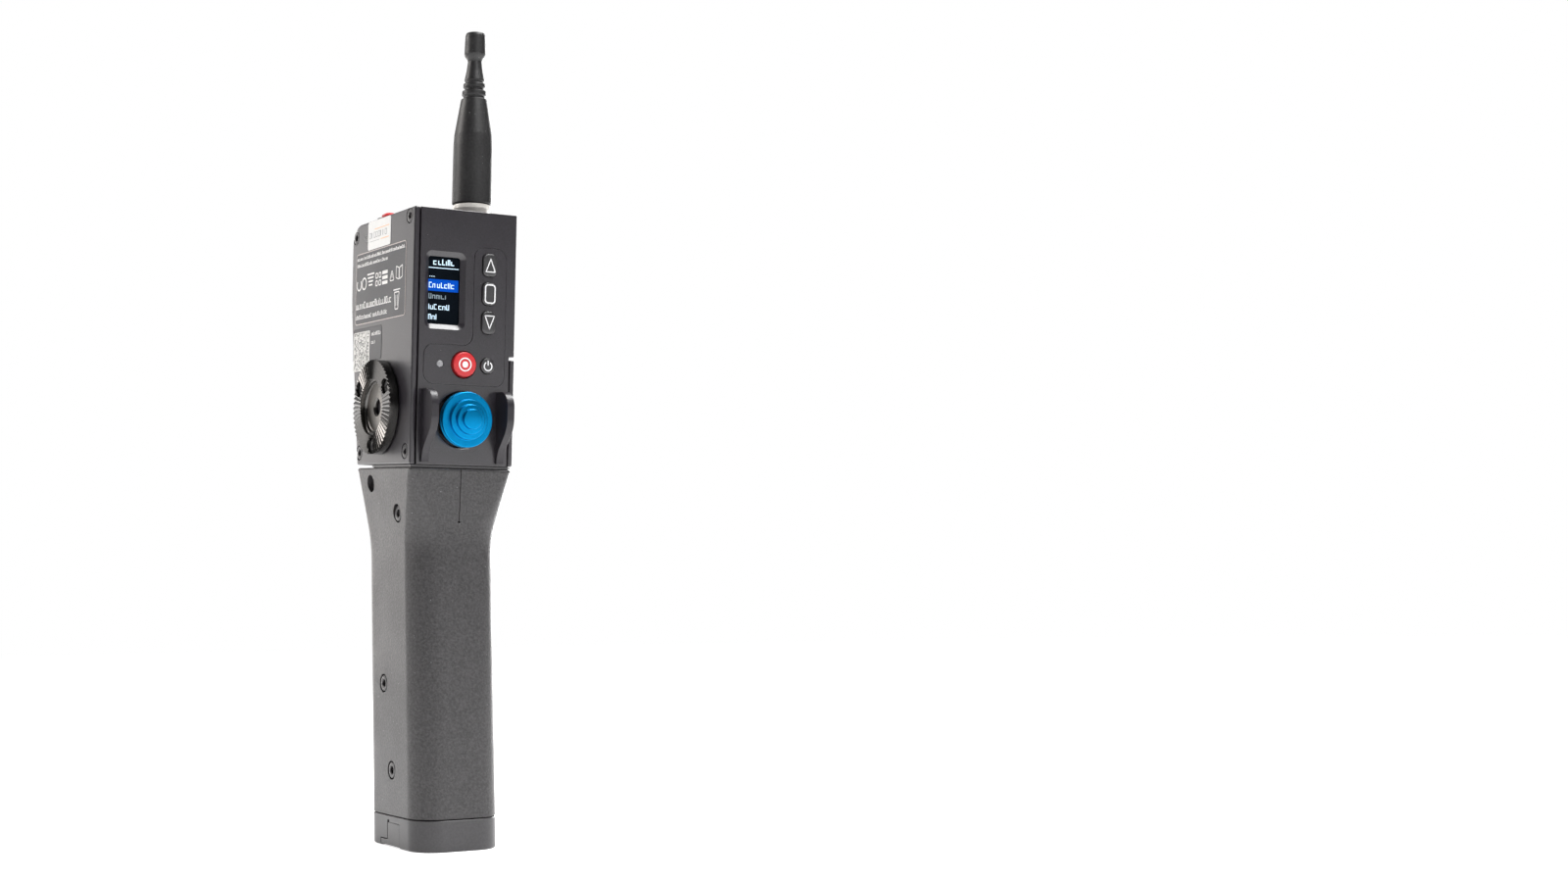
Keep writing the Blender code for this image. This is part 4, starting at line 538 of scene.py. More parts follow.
def publish(bm, name, slot, replaces=(), body="body", look=None, place=HEAD, sharp=38):
    """Puts a finished shape in its place as a piece that rides on a body."""
    if not bm.faces:
        raise RuntimeError(f"{name} has no faces")
    bm.transform(place @ MILLIMETRES)
    mesh = mesh_from(outwards(bm), name)
    mesh.shade_smooth()
    mesh.set_sharp_from_angle(angle=math.radians(sharp))
    mesh.materials.append(look_of(look or slot))
    piece = linked(name, mesh)
    weighted = piece.modifiers.new("Even faces", "WEIGHTED_NORMAL")
    weighted.keep_sharp = True
    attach(piece, body)
    if replaces:
        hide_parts(*replaces)


# Finishes


def tone(colour, factor):
    """A colour made lighter or darker, with full alpha."""
    return (*(min(channel * factor, 1.0) for channel in colour), 1.0)


def feed(tree, socket, value):
    """Gives a socket a value, or links another socket to it."""
    if isinstance(value, bpy.types.NodeSocket):
        tree.links.new(value, socket)
    else:
        socket.default_value = value


def add_node(tree, kind, inputs=None, **settings):
    """A new node with settings, and with values or links for its inputs."""
    node = tree.nodes.new(kind)
    for name, value in settings.items():
        setattr(node, name, value)
    for label, value in (inputs or {}).items():
        feed(tree, node.inputs[label], value)
    return node


def new_group(name, inputs, outputs):
    """An empty node group with named value inputs and outputs."""
    group = bpy.data.node_groups.new(name, "ShaderNodeTree")
    for label, default in inputs.items():
        socket = group.interface.new_socket(label, in_out="INPUT", socket_type="NodeSocketFloat")
        socket.default_value = default
    for label in outputs:
        group.interface.new_socket(label, in_out="OUTPUT", socket_type="NodeSocketFloat")
    start = group.nodes.new("NodeGroupInput")
    end = group.nodes.new("NodeGroupOutput")
    return group, start.outputs, end.inputs


def ranged(tree, value, low, high, to_low=0.0, to_high=1.0):
    """A value mapped from one range to another, and held inside it."""
    inputs = {"Value": value, "From Min": low, "From Max": high, "To Min": to_low, "To Max": to_high}
    return add_node(tree, "ShaderNodeMapRange", inputs, clamp=True).outputs["Result"]


def sums(tree, operation, first, second):
    """A math node over two values or sockets."""
    return add_node(tree, "ShaderNodeMath", {0: first, 1: second}, operation=operation).outputs[0]


def noise(tree, scale, detail, roughness):
    """Noise over the piece's own coordinates."""
    place = add_node(tree, "ShaderNodeTexCoord").outputs["Object"]
    inputs = {"Vector": place, "Scale": scale, "Detail": detail, "Roughness": roughness}
    return add_node(tree, "ShaderNodeTexNoise", inputs).outputs["Fac"]


def grain_group(name):
    """Fine grain: a mask and a height over the surface."""
    group, given, result = new_group(name, {"Scale": 900.0, "Spread": 0.22}, ("Mask", "Height"))
    fine = noise(group, given["Scale"], 2.0, 0.6)
    low = sums(group, "SUBTRACT", 0.5, given["Spread"])
    high = sums(group, "ADD", 0.5, given["Spread"])
    group.links.new(ranged(group, fine, low, high), result["Mask"])
    group.links.new(fine, result["Height"])
    return group


def clouds_group(name):
    """Slow variation, as of handling and polish, between two values."""
    group, given, result = new_group(name, {"Scale": 40.0, "Low": 0.4, "High": 0.5}, ("Value",))
    slow = noise(group, given["Scale"], 4.0, 0.6)
    group.links.new(ranged(group, slow, 0.32, 0.68, given["Low"], given["High"]), result["Value"])
    return group


def specks_group(name):
    """Scattered dust specks as a mask."""
    group, given, result = new_group(name, {"Scale": 260.0, "Size": 0.06, "Amount": 0.2}, ("Mask",))
    place = add_node(group, "ShaderNodeTexCoord").outputs["Object"]
    cells = add_node(group, "ShaderNodeTexVoronoi", {"Vector": place, "Scale": given["Scale"]}).outputs
    split = add_node(group, "ShaderNodeSeparateColor", {"Color": cells["Color"]}).outputs
    chosen = sums(group, "LESS_THAN", split["Red"], given["Amount"])
    size = sums(group, "MULTIPLY", given["Size"], split["Green"])
    inside = sums(group, "LESS_THAN", cells["Distance"], size)
    group.links.new(sums(group, "MULTIPLY", chosen, inside), result["Mask"])
    return group


def wear_and_highlight_group(name):
    """Edges as a mask, where the finish has rubbed thin and where some finishes carry a painted highlight.
    """
    group, given, result = new_group(name, {"Width": 0.0004, "Amount": 0.6}, ("Mask",))
    edges = add_node(group, "ShaderNodeBevel", {"Radius": given["Width"]}, samples=4).outputs["Normal"]
    surface = add_node(group, "ShaderNodeNewGeometry").outputs["Normal"]
    dot = add_node(group, "ShaderNodeVectorMath", {0: edges, 1: surface}, operation="DOT_PRODUCT")
    turned_by = sums(group, "SUBTRACT", 1.0, dot.outputs["Value"])
    edge = ranged(group, turned_by, 0.02, 0.2)
    broken = ranged(group, noise(group, 700.0, 4.0, 0.7), 0.45, 0.7)
    worn_and_lit = sums(group, "MULTIPLY", edge, broken)
    group.links.new(sums(group, "MULTIPLY", worn_and_lit, given["Amount"]), result["Mask"])
    return group


def turning_group(name):
    """Fine rings left by turning, about the zoom knob's axis."""
    group, given, result = new_group(name, {"Rings": 3000.0}, ("Height",))
    place = add_node(group, "ShaderNodeTexCoord").outputs["Object"]
    centre = HEAD @ Vector((0, 0, KNOB_Z * 0.001))
    inputs = {"Vector": place, "Location": centre, "Rotation": (HEAD_TILT, 0, 0)}
    shift = add_node(group, "ShaderNodeMapping", inputs, vector_type="TEXTURE").outputs["Vector"]
    split = add_node(group, "ShaderNodeSeparateXYZ", {"Vector": shift}).outputs
    across = sums(group, "POWER", split["X"], 2.0)
    up = sums(group, "POWER", split["Z"], 2.0)
    radius = sums(group, "SQRT", sums(group, "ADD", across, up), 0.0)
    wave = sums(group, "SINE", sums(group, "MULTIPLY", radius, given["Rings"]), 0.0)
    group.links.new(wave, result["Height"])
    return group


GROUPS = {
    "surface_grain": grain_group,
    "handling_clouds": clouds_group,
    "dust_specks": specks_group,
    "worn_edges": wear_and_highlight_group,
    "turning_rings": turning_group,
}


def placed(tree, name, **settings):
    """A node in a material for a shared group, which is built at its first use."""
    group = bpy.data.node_groups.get(name) or GROUPS[name](name)
    return add_node(tree, "ShaderNodeGroup", settings, node_tree=group).outputs


def mixed(tree, factor, first, second):
    """A colour between two, by a factor."""
    inputs = {"Factor": factor, 6: first, 7: second}
    return add_node(tree, "ShaderNodeMix", inputs, data_type="RGBA").outputs[2]


def look_of(kind):
    """The material of a finish, made at its first use from the scene's colours."""
    name, colour, rough, grain, more = FINISHES[kind]
    if isinstance(colour, str):
        colour = getattr(bpy.context.scene.zoom_demand.colours, colour)
    name = name or kind
    return bpy.data.materials.get(name) or finish(name, colour, rough, grain, **more)


def finish(
    name, colour, rough, grain, metallic=0.0, specular=0.5, bump=None, wear_and_highlight=None, dust=None, rings=0, glow=0
):
    """A procedural finish.

    Bump is (strength, distance), wear_and_highlight is (width, amount, colour) of worn edges, which some
    finishes also use as a painted highlight, dust is (scale, size, amount, colour), rings are the waves per
    metre, in radians, and glow is the strength of lit marks.
    """
    made = bpy.data.materials.new(name)
    made.use_nodes = True
    tree = made.node_tree
    shader = tree.nodes["Principled BSDF"]
    shader.inputs["Metallic"].default_value = metallic
    shader.inputs["Specular IOR Level"].default_value = specular
    scale, dark, light = grain
    fine = placed(tree, "surface_grain", Scale=scale)
    base = mixed(tree, fine["Mask"], tone(colour, dark), tone(colour, light))
    # Edge colour: worn edges, and on the rosette teeth and the screws also a painted highlight.
    if wear_and_highlight:
        worn_and_lit = placed(tree, "worn_edges", Width=wear_and_highlight[0], Amount=wear_and_highlight[1])
        base = mixed(tree, worn_and_lit["Mask"], base, tone(wear_and_highlight[2], 1))
    if dust:
        specks = placed(tree, "dust_specks", Scale=dust[0], Size=dust[1], Amount=dust[2])
        base = mixed(tree, specks["Mask"], base, tone(dust[3], 1))
    tree.links.new(base, shader.inputs["Base Color"])
    clouds = placed(tree, "handling_clouds", Low=rough[0], High=rough[1])
    tree.links.new(clouds["Value"], shader.inputs["Roughness"])
    if bump:
        node = add_node(tree, "ShaderNodeBump", {"Strength": bump[0], "Distance": bump[1]})
        raised = placed(tree, "turning_rings", Rings=rings) if rings else fine
        tree.links.new(raised["Height"], node.inputs["Height"])
        tree.links.new(node.outputs["Normal"], shader.inputs["Normal"])
    if glow:
        pixels = placed(tree, "surface_grain", Scale=scale)
        lit = mixed(tree, pixels["Mask"], tone(colour, 0.82), tone(colour, 1.05))
        tree.links.new(lit, shader.inputs["Emission Color"])
        shader.inputs["Emission Strength"].default_value = glow
    return made


# Shapes that several pieces share


def side_corners(front, low, high, inset=0.0, corner=0.0):
    """The head's side outline between two heights, as (y, z, radius)."""
    return [
        (front, low, 0),
        (rear_at(low) - inset, low, corner),
        (REAR_HIGH - inset, KNEE_H, KNEE_R),
        (REAR_HIGH - inset, high, corner or SHOULDER_R),
        (front, high, 0),
    ]


def rear_at(height):
    """How far back the head's rear lies at a height."""
    return REAR_LOW + (REAR_HIGH - REAR_LOW) * min(height / KNEE_H, 1)


def field_corners(grow=0.0):
    """The L-shaped field round the keys, grown by a margin."""
    left, right, low = -14.4 - grow, 15.0 + grow, 26.4 - grow
    inner_x, shelf, high = 3.2 - grow, 39.4 + grow, 72.1 + grow
    outer, inner = 3.6 + grow, 3.6 - grow
    return [
        (left, low, outer), (right, low, outer), (right, high, outer),
        (inner_x, high, outer), (inner_x, shelf, inner), (left, shelf, outer),
    ]


def key_openings(start, end):
    """Shapes for the openings of the keys, buttons and light."""
    width, height, radius = KEY
    shapes = []
    for key_z in KEY_HEIGHTS.values():
        corners = rectangle(width + 0.4, height + 0.4, radius + 0.2, (KEY_X, key_z))
        shapes.append(plate(corners, "front", start, end))
    for x, radius in ((0, 4.65), (KEY_X, 2.75), (LED_X, 1.3)):
        shapes.append(pin("front", x, ROW_Z, start, end, radius, 64))
    return shapes


def socket_screw(head_r, head_t, socket_r, socket_d):
    """A screw's head with a hexagon socket, its top at height 0 and facing +Z."""
    profile = [(0, 0), (head_r, 0, 0.18), (head_r, -head_t), (head_r * 0.5, -head_t)]
    profile += [(head_r * 0.5, -head_t - 1.0), (0, -head_t - 1.0)]
    key = pin("flat", 0, 0, -socket_d, 1, socket_r, 6)
    chamfer = turned([(0, 1), (socket_r + 1.2, 1), (socket_r - 0.12, -0.22), (0, -0.22)], 48)
    return carved(turned(profile, 48), key, chamfer)


def publish_screws(size, stand, places, name, replaces, place=HEAD):
    """Publishes copies of a screw, stood up at several places."""
    screw = socket_screw(*size)
    shapes = [copied(screw, Matrix.Translation(at) @ stand) for at in places]
    screw.free()
    publish(gathered(shapes), name, "black_steel", replaces, place=place)


def copied(shape, matrix):
    """A moved copy of a shape."""
    other = shape.copy()
    other.transform(matrix)
    return outwards(other)


def numbered(prefix, items):
    """Names that end in 1, 2 and so on, one for each item."""
    return [f"{prefix}_{index + 1}" for index in range(len(items))]


def quarter(turns):
    """How far a quarter round has come in and gone along at some angles, for a radius of 1."""
    return [(1 - math.cos(math.radians(turn)), math.sin(math.radians(turn))) for turn in turns]


def arc_band(plane, centre, outer, stroke, start, end, opening=0.0):
    """A flat ring in a plane, with an opening at its top of a given half angle in degrees."""
    bm = bmesh.new()
    for radius in (outer, outer - stroke):
        bmesh.ops.create_circle(bm, cap_ends=False, segments=48, radius=radius)
    bmesh.ops.bridge_loops(bm, edges=list(bm.edges))
    gone = []
    for face in bm.faces:
        middle = face.calc_center_median()
        if abs(math.atan2(middle.x, middle.y)) < math.radians(opening):
            gone.append(face)
    bmesh.ops.delete(bm, geom=gone, context="FACES")
    for vert in bm.verts:
        vert.co = spot(plane, centre[0] + vert.co.x, centre[1] + vert.co.y, start)
    thicken(bm, spot(plane, 0, 0, end - start))
    return outwards(bm)


def glyph(kind, low, high, along, stroke):
    """The corners of one abstract mark in a cell from low to high, written along a direction."""
    x0, y0 = low
    x1, y1 = high
    inner0, inner1 = x0 + stroke, x1 - stroke
    shapes = {
        "upright": [(x0, y0), (inner0, y0), (inner0, y1), (x0, y1)],
        "arch": [
            (x0, y0), (inner0, y0), (inner0, y1 - stroke), (inner1, y1 - stroke),
            (inner1, y0), (x1, y0), (x1, y1), (x0, y1),
        ],
        "cup": [
            (x0, y0), (x1, y0), (x1, y1), (inner1, y1),
            (inner1, y0 + stroke), (inner0, y0 + stroke), (inner0, y1), (x0, y1),
        ],
        "bracket": [
            (x0, y0), (x1, y0), (x1, y0 + stroke), (inner0, y0 + stroke),
            (inner0, y1 - stroke), (x1, y1 - stroke), (x1, y1), (x0, y1),
        ],
        "hook": [(x0, y0), (x1, y0), (x1, y0 + stroke), (inner0, y0 + stroke), (inner0, y1), (x0, y1)],
    }
    return [(x * along, y) for x, y in shapes[kind]]


def mark_row(plane, row, depths, along=1):
    """A row of abstract marks that stands for a line of text."""
    start, base, length, height, seed, stroke, width, gap = row
    chance = random.Random(seed)
    shapes = []
    x = start * along
    end = x + length
    while x + width * 0.5 < end:
        kind = chance.choice(("upright", "arch", "cup", "bracket", "hook"))
        wide = stroke if kind == "upright" else width * chance.uniform(0.8, 1.0)
        tall = height * chance.choice((0.74, 0.74, 1.0))
        corners = glyph(kind, (x, base), (x + wide, base + tall), along, stroke)
        shapes.append(plate(corners, plane, *depths))
        x += wide + gap * chance.choice((1.0, 1.0, 1.0, 2.2))
    return shapes


# Operators: one for each piece or group of like pieces


class PieceBuilder:
    """What every builder shares."""

    bl_options = {"REGISTER", "UNDO"}


class ZOOMDEMAND_OT_side_plates(PieceBuilder, bpy.types.Operator):
    """Build the plates that close the head's left and right sides"""

    bl_idname = "zoom_demand.side_plates"
    bl_label = "Side plates"

    def execute(self, context):
        soft = in_mm(context.scene.zoom_demand.sizes.cover_round)
        left = plate(side_corners(FRONT, 0, TOP), "side", -SIDE, -SIDE + COVER_T, 24, soft)
        low = [(FRONT, 0), (rear_at(0), 0), (rear_at(SLOT_LOW), SLOT_LOW), (FRONT, SLOT_LOW)]
        right = plate(low, "side", *RIGHT_PLATE, 8, soft)
        plates = ((left, COVER_SCREWS), (right, COVER_SCREWS[2:]))
        for (side, label, stand), (bm, screws) in zip(SIDES, plates):
            pockets = [pin("side", *yz, side * 25, side * (SIDE - 1.6), SMALL_POCKET_R) for yz in screws]
            bm = carved(bm, gathered(pockets))
            publish(bm, f"{label}_side_plate", "black_anodised", [f"{label}_cover"])
            places = [(side * (SIDE - 0.05), y, z) for y, z in screws]
            names = numbered(f"{label}_cover_screw", screws)
            publish_screws(SMALL_SCREW, stand, places, f"{label}_side_plate_screws", names)
        return {"FINISHED"}


class ZOOMDEMAND_OT_housing(PieceBuilder, bpy.types.Operator):
    """Build the head's housing and the radio module behind the panel's upper right"""

    bl_idname = "zoom_demand.housing"
    bl_label = "Housing and radio module"

    def execute(self, context):
        outer = side_corners(BODY_FRONT, 0, TOP)
        housing = plate(outer, "side", -BODY_SIDE, RIGHT_PLATE[0] - 0.1, 24, 0.3, 2)
        lower = [(-19.8, 3, 0), (19.26, 3, 8), (23.87, 33.2, 8), (-19.8, 33.2, 0)]
        holes = [pin("flat", *TOP_BUTTON, 70, 90, 3.1)]
        for z, radius in ((CAMERA_Z, 4.9), (BUS_Z, 4.6)):
            holes.append(pin("front", SOCKET_X, z, 18, 40, radius, 64))
        housing = carved_by_turns(
            housing,
            block((2.7, -50, 36.2), (40, 50, 90)),
            plate(side_corners(-19.8, 3, TOP - 3, 4, 8), "side", -40, 0.5, 12),
            plate(lower, "side", -1.7, 13.5, 12),
            gathered(holes),
            pin("front", SOCKET_X, BUS_Z, BUS_SEAT, 40, 5.6, 64),
        )
        publish(housing, "head_housing", "black_anodised", ["main_housing"])

        radio = plate(side_corners(BODY_FRONT, RADIO_LOW, TOP), "side", RADIO_X, SIDE, 24, 0.5)
        seam = side_corners(BODY_FRONT - 2, RADIO_LOW - 2, TOP + 1.5, -1.5)
        radio = carved(radio, frame_plate(seam, "side", 14.6, 15.1, 2.1, 24))
        publish(radio, "radio_block", "black_anodised", ["radio_module"])
        return {"FINISHED"}


class ZOOMDEMAND_OT_front_panel(PieceBuilder, bpy.types.Operator):
    """Build the milled front panel with its window, its field for the keys and the knob's well"""

    bl_idname = "zoom_demand.front_panel"
    bl_label = "Front panel"

    def execute(self, context):
        soft = in_mm(context.scene.zoom_demand.sizes.panel_round)
        outline = [
            (-BODY_SIDE, 0), (RIGHT_EDGE, 0), (RIGHT_EDGE, RADIO_LOW),
            (SIDE, RADIO_LOW), (SIDE, TOP), (-BODY_SIDE, TOP),
        ]
        tray = [(-14.8, 1.5, 6), (14.8, 1.5, 6), (14.8, 38), (17.1, 38), (17.1, 82.4, 1.5), (-14.8, 82.4, 6)]
        well = [(0, 4), (9.7, 4), (9.7, 0), (9.3, -0.4), (9.3, -6), (0, -6)]
        well = turned(well, 96, FORWARD, (0, FRONT, KNOB_Z))
        width, height, radius = WINDOW
        bevel = []
        for margin, y in ((0.0, FRONT + BEZEL_D), (BEZEL_W * (BEZEL_D + 3) / BEZEL_D, FRONT - 3)):
            matrix = Matrix.Translation((DISPLAY[0], y, DISPLAY[1])) @ FORWARD
            bevel.append(grown(WINDOW, margin, matrix))
        pocket = rectangle(width + 1.4, height + 1.4, radius, DISPLAY)
        panel = carved_by_turns(
            plate(outline, "front", FRONT, TRAY_BACK, 8, soft),
            plate(tray, "front", FRONT + PANEL_T, TRAY_BACK + 3),
            plate(field_corners(0.12), "front", FRONT - 3, FRONT + 0.8, 10),
            gathered([*key_openings(FRONT - 3, TRAY_BACK + 1), well]),
            loft(bevel),
            plate(rectangle(*WINDOW, DISPLAY), "front", FRONT - 3, TRAY_BACK + 1),
            plate(pocket, "front", FRONT + 1.4, TRAY_BACK + 1),
        )
        publish(panel, "front_plate", "black_anodised", ["front_panel"], sharp=24)
        return {"FINISHED"}


class ZOOMDEMAND_OT_display(PieceBuilder, bpy.types.Operator):
    """Build the display's glass and the abstract menu that glows on it"""

    bl_idname = "zoom_demand.display"
    bl_label = "Display"

    def execute(self, context):
        width, height, radius = WINDOW
        corners = rectangle(width + 1.0, height + 1.0, radius, DISPLAY)
        glass = plate(corners, "front", GLASS_FRONT, GLASS_FRONT + 0.7, 8, 0.08, 2)
        publish(glass, "display_pane", "display_glass", ["display_glass"])
        left = DISPLAY[0] - width / 2
        top = DISPLAY[1] + height / 2
        back = GLASS_FRONT + 0.01
        band = plate(rectangle(11.0, 3.9, 0.0, (left + 5.6, top - 9.4)), "front", GLASS_FRONT - 0.02, back)
        publish(band, "display_highlight", "display_glass", look="screen_highlight")
        depths = (GLASS_FRONT - 0.05, back)
        bright = []
        for start, down, length, tall, seed, stroke in (
            (1.9, 2.75, 7.0, 1.9, 11, 0.34),
            (0.5, 10.3, 8.9, 1.8, 12, 0.26),
            (0.5, 17.4, 7.0, 1.75, 14, 0.26),
            (0.5, 20.7, 3.7, 1.75, 15, 0.26),
        ):
            row = (left + start, top - down, length, tall, seed, stroke, 1.15, 0.3)
            bright += mark_row("front", row, depths)
        bright.append(plate(box(left + 0.3, left + 11.1, top - 3.85, top - 3.6), "front", *depths))
        for dot in range(3):
            bright.append(pin("front", left + 0.8 + 0.75 * dot, top - 6.6, *depths, 0.17, 12))
        publish(gathered(bright), "display_marks", "display_glass", look="screen_marks")
        dim = mark_row("front", (left + 0.5, top - 13.9, 7.4, 1.75, 13, 0.26, 1.15, 0.3), depths)
        publish(gathered(dim), "display_dim_marks", "display_glass", look="screen_dim_marks")
        return {"FINISHED"}


class ZOOMDEMAND_OT_keys(PieceBuilder, bpy.types.Operator):
    """Build the field round the keys, the three keys and their symbols"""

    bl_idname = "zoom_demand.keys"
    bl_label = "Keys"

    def execute(self, context):
        raise_by = in_mm(context.scene.zoom_demand.sizes.print_height)
        field = plate(field_corners(), "front", FRONT - 0.1, FRONT + 0.5, 10, 0.1, 2)
        field = carved(field, gathered(key_openings(FRONT - 3, FRONT + 3)))
        publish(field, "key_field", "black_plastic", ["keypad_surround"], look="black_anodised")
        face = FRONT - 0.9
        shape = [(0.7, FRONT + 3.1), (0.7, FRONT + 2.4), (0.0, FRONT + 2.4), (0.0, face + 0.4)]
        shape += [(-0.4 * inward, face + 0.4 - 0.4 * on) for inward, on in quarter((22.5, 45, 67.5, 90))]
        shape.append((-1.3, face - 0.06))
        depths = (face - 0.07 - raise_by, face + 0.1)
        middle = KEY_X + 0.15
        for name, key_z in KEY_HEIGHTS.items():
            sections = [
                grown(KEY, margin, Matrix.Translation((KEY_X, y, key_z)) @ FORWARD) for margin, y in shape
            ]
            publish(loft(sections, 10), f"{name}_cap", "black_plastic", [name], name)
            if name == "select_key":
                symbol = frame_plate(rectangle(3.95, 6.4, 1.2, (middle, key_z)), "front", *depths, 0.42)
            else:
                hand = 1 if name == "up_key" else -1
                foot, tip = key_z - 2.4 * hand, key_z + 2.5 * hand
                corners = [(middle - 1.95, foot, 0.12), (middle + 1.95, foot, 0.12), (middle, tip, 0.12)]
                symbol = frame_plate(corners, "front", *depths, 0.34, 3)
            publish(symbol, f"{name}_symbol", "black_plastic", (), name, "key_print")
        return {"FINISHED"}


class ZOOMDEMAND_OT_buttons(PieceBuilder, bpy.types.Operator):
    """Build the record, power and top buttons and the status light"""

    bl_idname = "zoom_demand.buttons"
    bl_label = "Buttons and light"

    def execute(self, context):
        sizes = context.scene.zoom_demand.sizes
        raise_by = in_mm(sizes.print_height)
        steps = sizes.round_steps
        profile = [(0, 1.36), (3.2, 1.28), (4.15, 1.2, 0.5), (4.15, -2.3), (5.1, -2.3), (5.1, -3), (0, -3)]
        cap = turned(profile, steps, FORWARD, (0, FRONT, ROW_Z))
        publish(cap, "record_cap", "red_plastic", ["record_button"], "record_button")
        depths = (FRONT - 1.36 - raise_by, FRONT - 1.2)
        ring = arc_band("front", (0, ROW_Z), 2.3, 0.45, *depths)
        dot = pin("front", 0, ROW_Z, *depths, 1.05, 40)
        publish(gathered([ring, dot]), "record_symbol", "red_plastic", (), "record_button", "key_print")

        profile = [(0, 0.84), (1.9, 0.8), (2.55, 0.76, 0.35), (2.55, -2.3), (3.2, -2.3), (3.2, -3), (0, -3)]
        cap = turned(profile, steps, FORWARD, (KEY_X, FRONT, ROW_Z))
        publish(cap, "power_cap", "black_plastic", ["power_button"], "power_button")
        depths = (FRONT - 0.84 - raise_by, FRONT - 0.7)
        ring = arc_band("front", (KEY_X, ROW_Z - 0.15), 1.6, 0.4, *depths, opening=30)
        bar = plate(rectangle(0.4, 1.7, 0.12, (KEY_X, ROW_Z + 0.95)), "front", *depths, 3)
        publish(gathered([ring, bar]), "power_symbol", "black_plastic", (), "power_button", "key_print")

        profile = [(0, 0.22), (0.7, 0.14), (1.15, -0.05, 0.1), (1.15, -2.4), (0, -2.4)]
        light = turned(profile, 48, FORWARD, (LED_X, FRONT, ROW_Z))
        publish(light, "status_lens", "milky_plastic", ["status_led"])

        profile = [(0, 3.1), (1.4, 2.95, 0.6), (2.9, 2.2, 0.6), (2.9, -3.2)]
        profile += [(3.6, -3.2), (3.6, -3.9), (0, -3.9)]
        cap = turned(profile, 64, UPRIGHT, (*TOP_BUTTON, TOP))
        publish(cap, "top_cap", "red_plastic", ["top_button"], "top_button")
        profile = [(3.1, 1.1), (4.4, 1.1, 0.45), (4.4, 0), (3.1, 0)]
        collar = turned(profile, 64, UPRIGHT, (*TOP_BUTTON, TOP), closed=True)
        publish(collar, "top_cap_collar", "black_anodised", ["top_button_collar"])
        return {"FINISHED"}


class ZOOMDEMAND_OT_zoom_knob(PieceBuilder, bpy.types.Operator):
    """Build the stepped zoom knob and the rubber dome that seals its well"""

    bl_idname = "zoom_demand.zoom_knob"
    bl_label = "Zoom knob"

    def execute(self, context):
        at = (0, PIVOT_Y, KNOB_Z)
        face, step_h = 16.2, 1.45
        profile = [(0, face + 3 * step_h)]
        for steps_left, radius in ((3, 3.3), (2, 4.9), (1, 6.6)):
            profile.append((radius, face + step_h * steps_left, 0.34))
            profile.append((radius, face + step_h * (steps_left - 1), 0.2))
        profile += [
            (KNOB_R, face, 0.42), (KNOB_R, face - 0.95, 0.1), (KNOB_R - 0.3, face - 1.1, 0.08),
            (KNOB_R - 0.3, face - 1.55, 0.08), (KNOB_R, face - 1.7, 0.1), (KNOB_R, face - 2.6, 0.4),
            (5.0, face - 2.6), (5.0, 13.1), (2.3, 13.1), (2.3, 18.1), (0, 18.1),
        ]
        knob = turned(profile, context.scene.zoom_demand.sizes.round_steps, FORWARD, at)
        publish(knob, "stepped_knob", "azure_anodised", ["zoom_knob"], "zoom_rocker")
        outer, inner = [], []
        first, last = math.asin(2.3 / 12.0), math.radians(53)
        for step in range(17):
            angle = first + (last - first) * step / 16
            bellows = 12.62 + 0.18 * math.cos(step * math.pi)
            outer.append((bellows * math.sin(angle), bellows * math.cos(angle)))
            inner.append((12.0 * math.sin(angle), 12.0 * math.cos(angle)))
        dome = turned(outer + inner[::-1], 72, FORWARD, at, closed=True)
        publish(dome, "sealing_dome", "black_rubber", ["zoom_dome"], "zoom_rocker")
        return {"FINISHED"}


class ZOOMDEMAND_OT_guards(PieceBuilder, bpy.types.Operator):
    """Build the two fins that guard the zoom knob"""

    bl_idname = "zoom_demand.guards"
    bl_label = "Thumb guards"

    def execute(self, context):
        low, high = 0.8, 24.6
        corners = [
            (FRONT + 0.7, low), (FRONT + 0.7, high), (FRONT - 8.5, high, 5.4),
            (FRONT - 8.5, low + 11.6, 8), (FRONT - 1.1, low + 3.2, 8), (FRONT - 1.1, low),
        ]
        for side, label, _ in SIDES:
            middle = side * GUARD_X
            fin = plate(corners, "side", middle - 1.3, middle + 1.3, 16, 0.85, 5)
            publish(fin, f"{label}_fin", "black_anodised", [f"thumb_guard_{label}"], look="smooth_black")
        return {"FINISHED"}


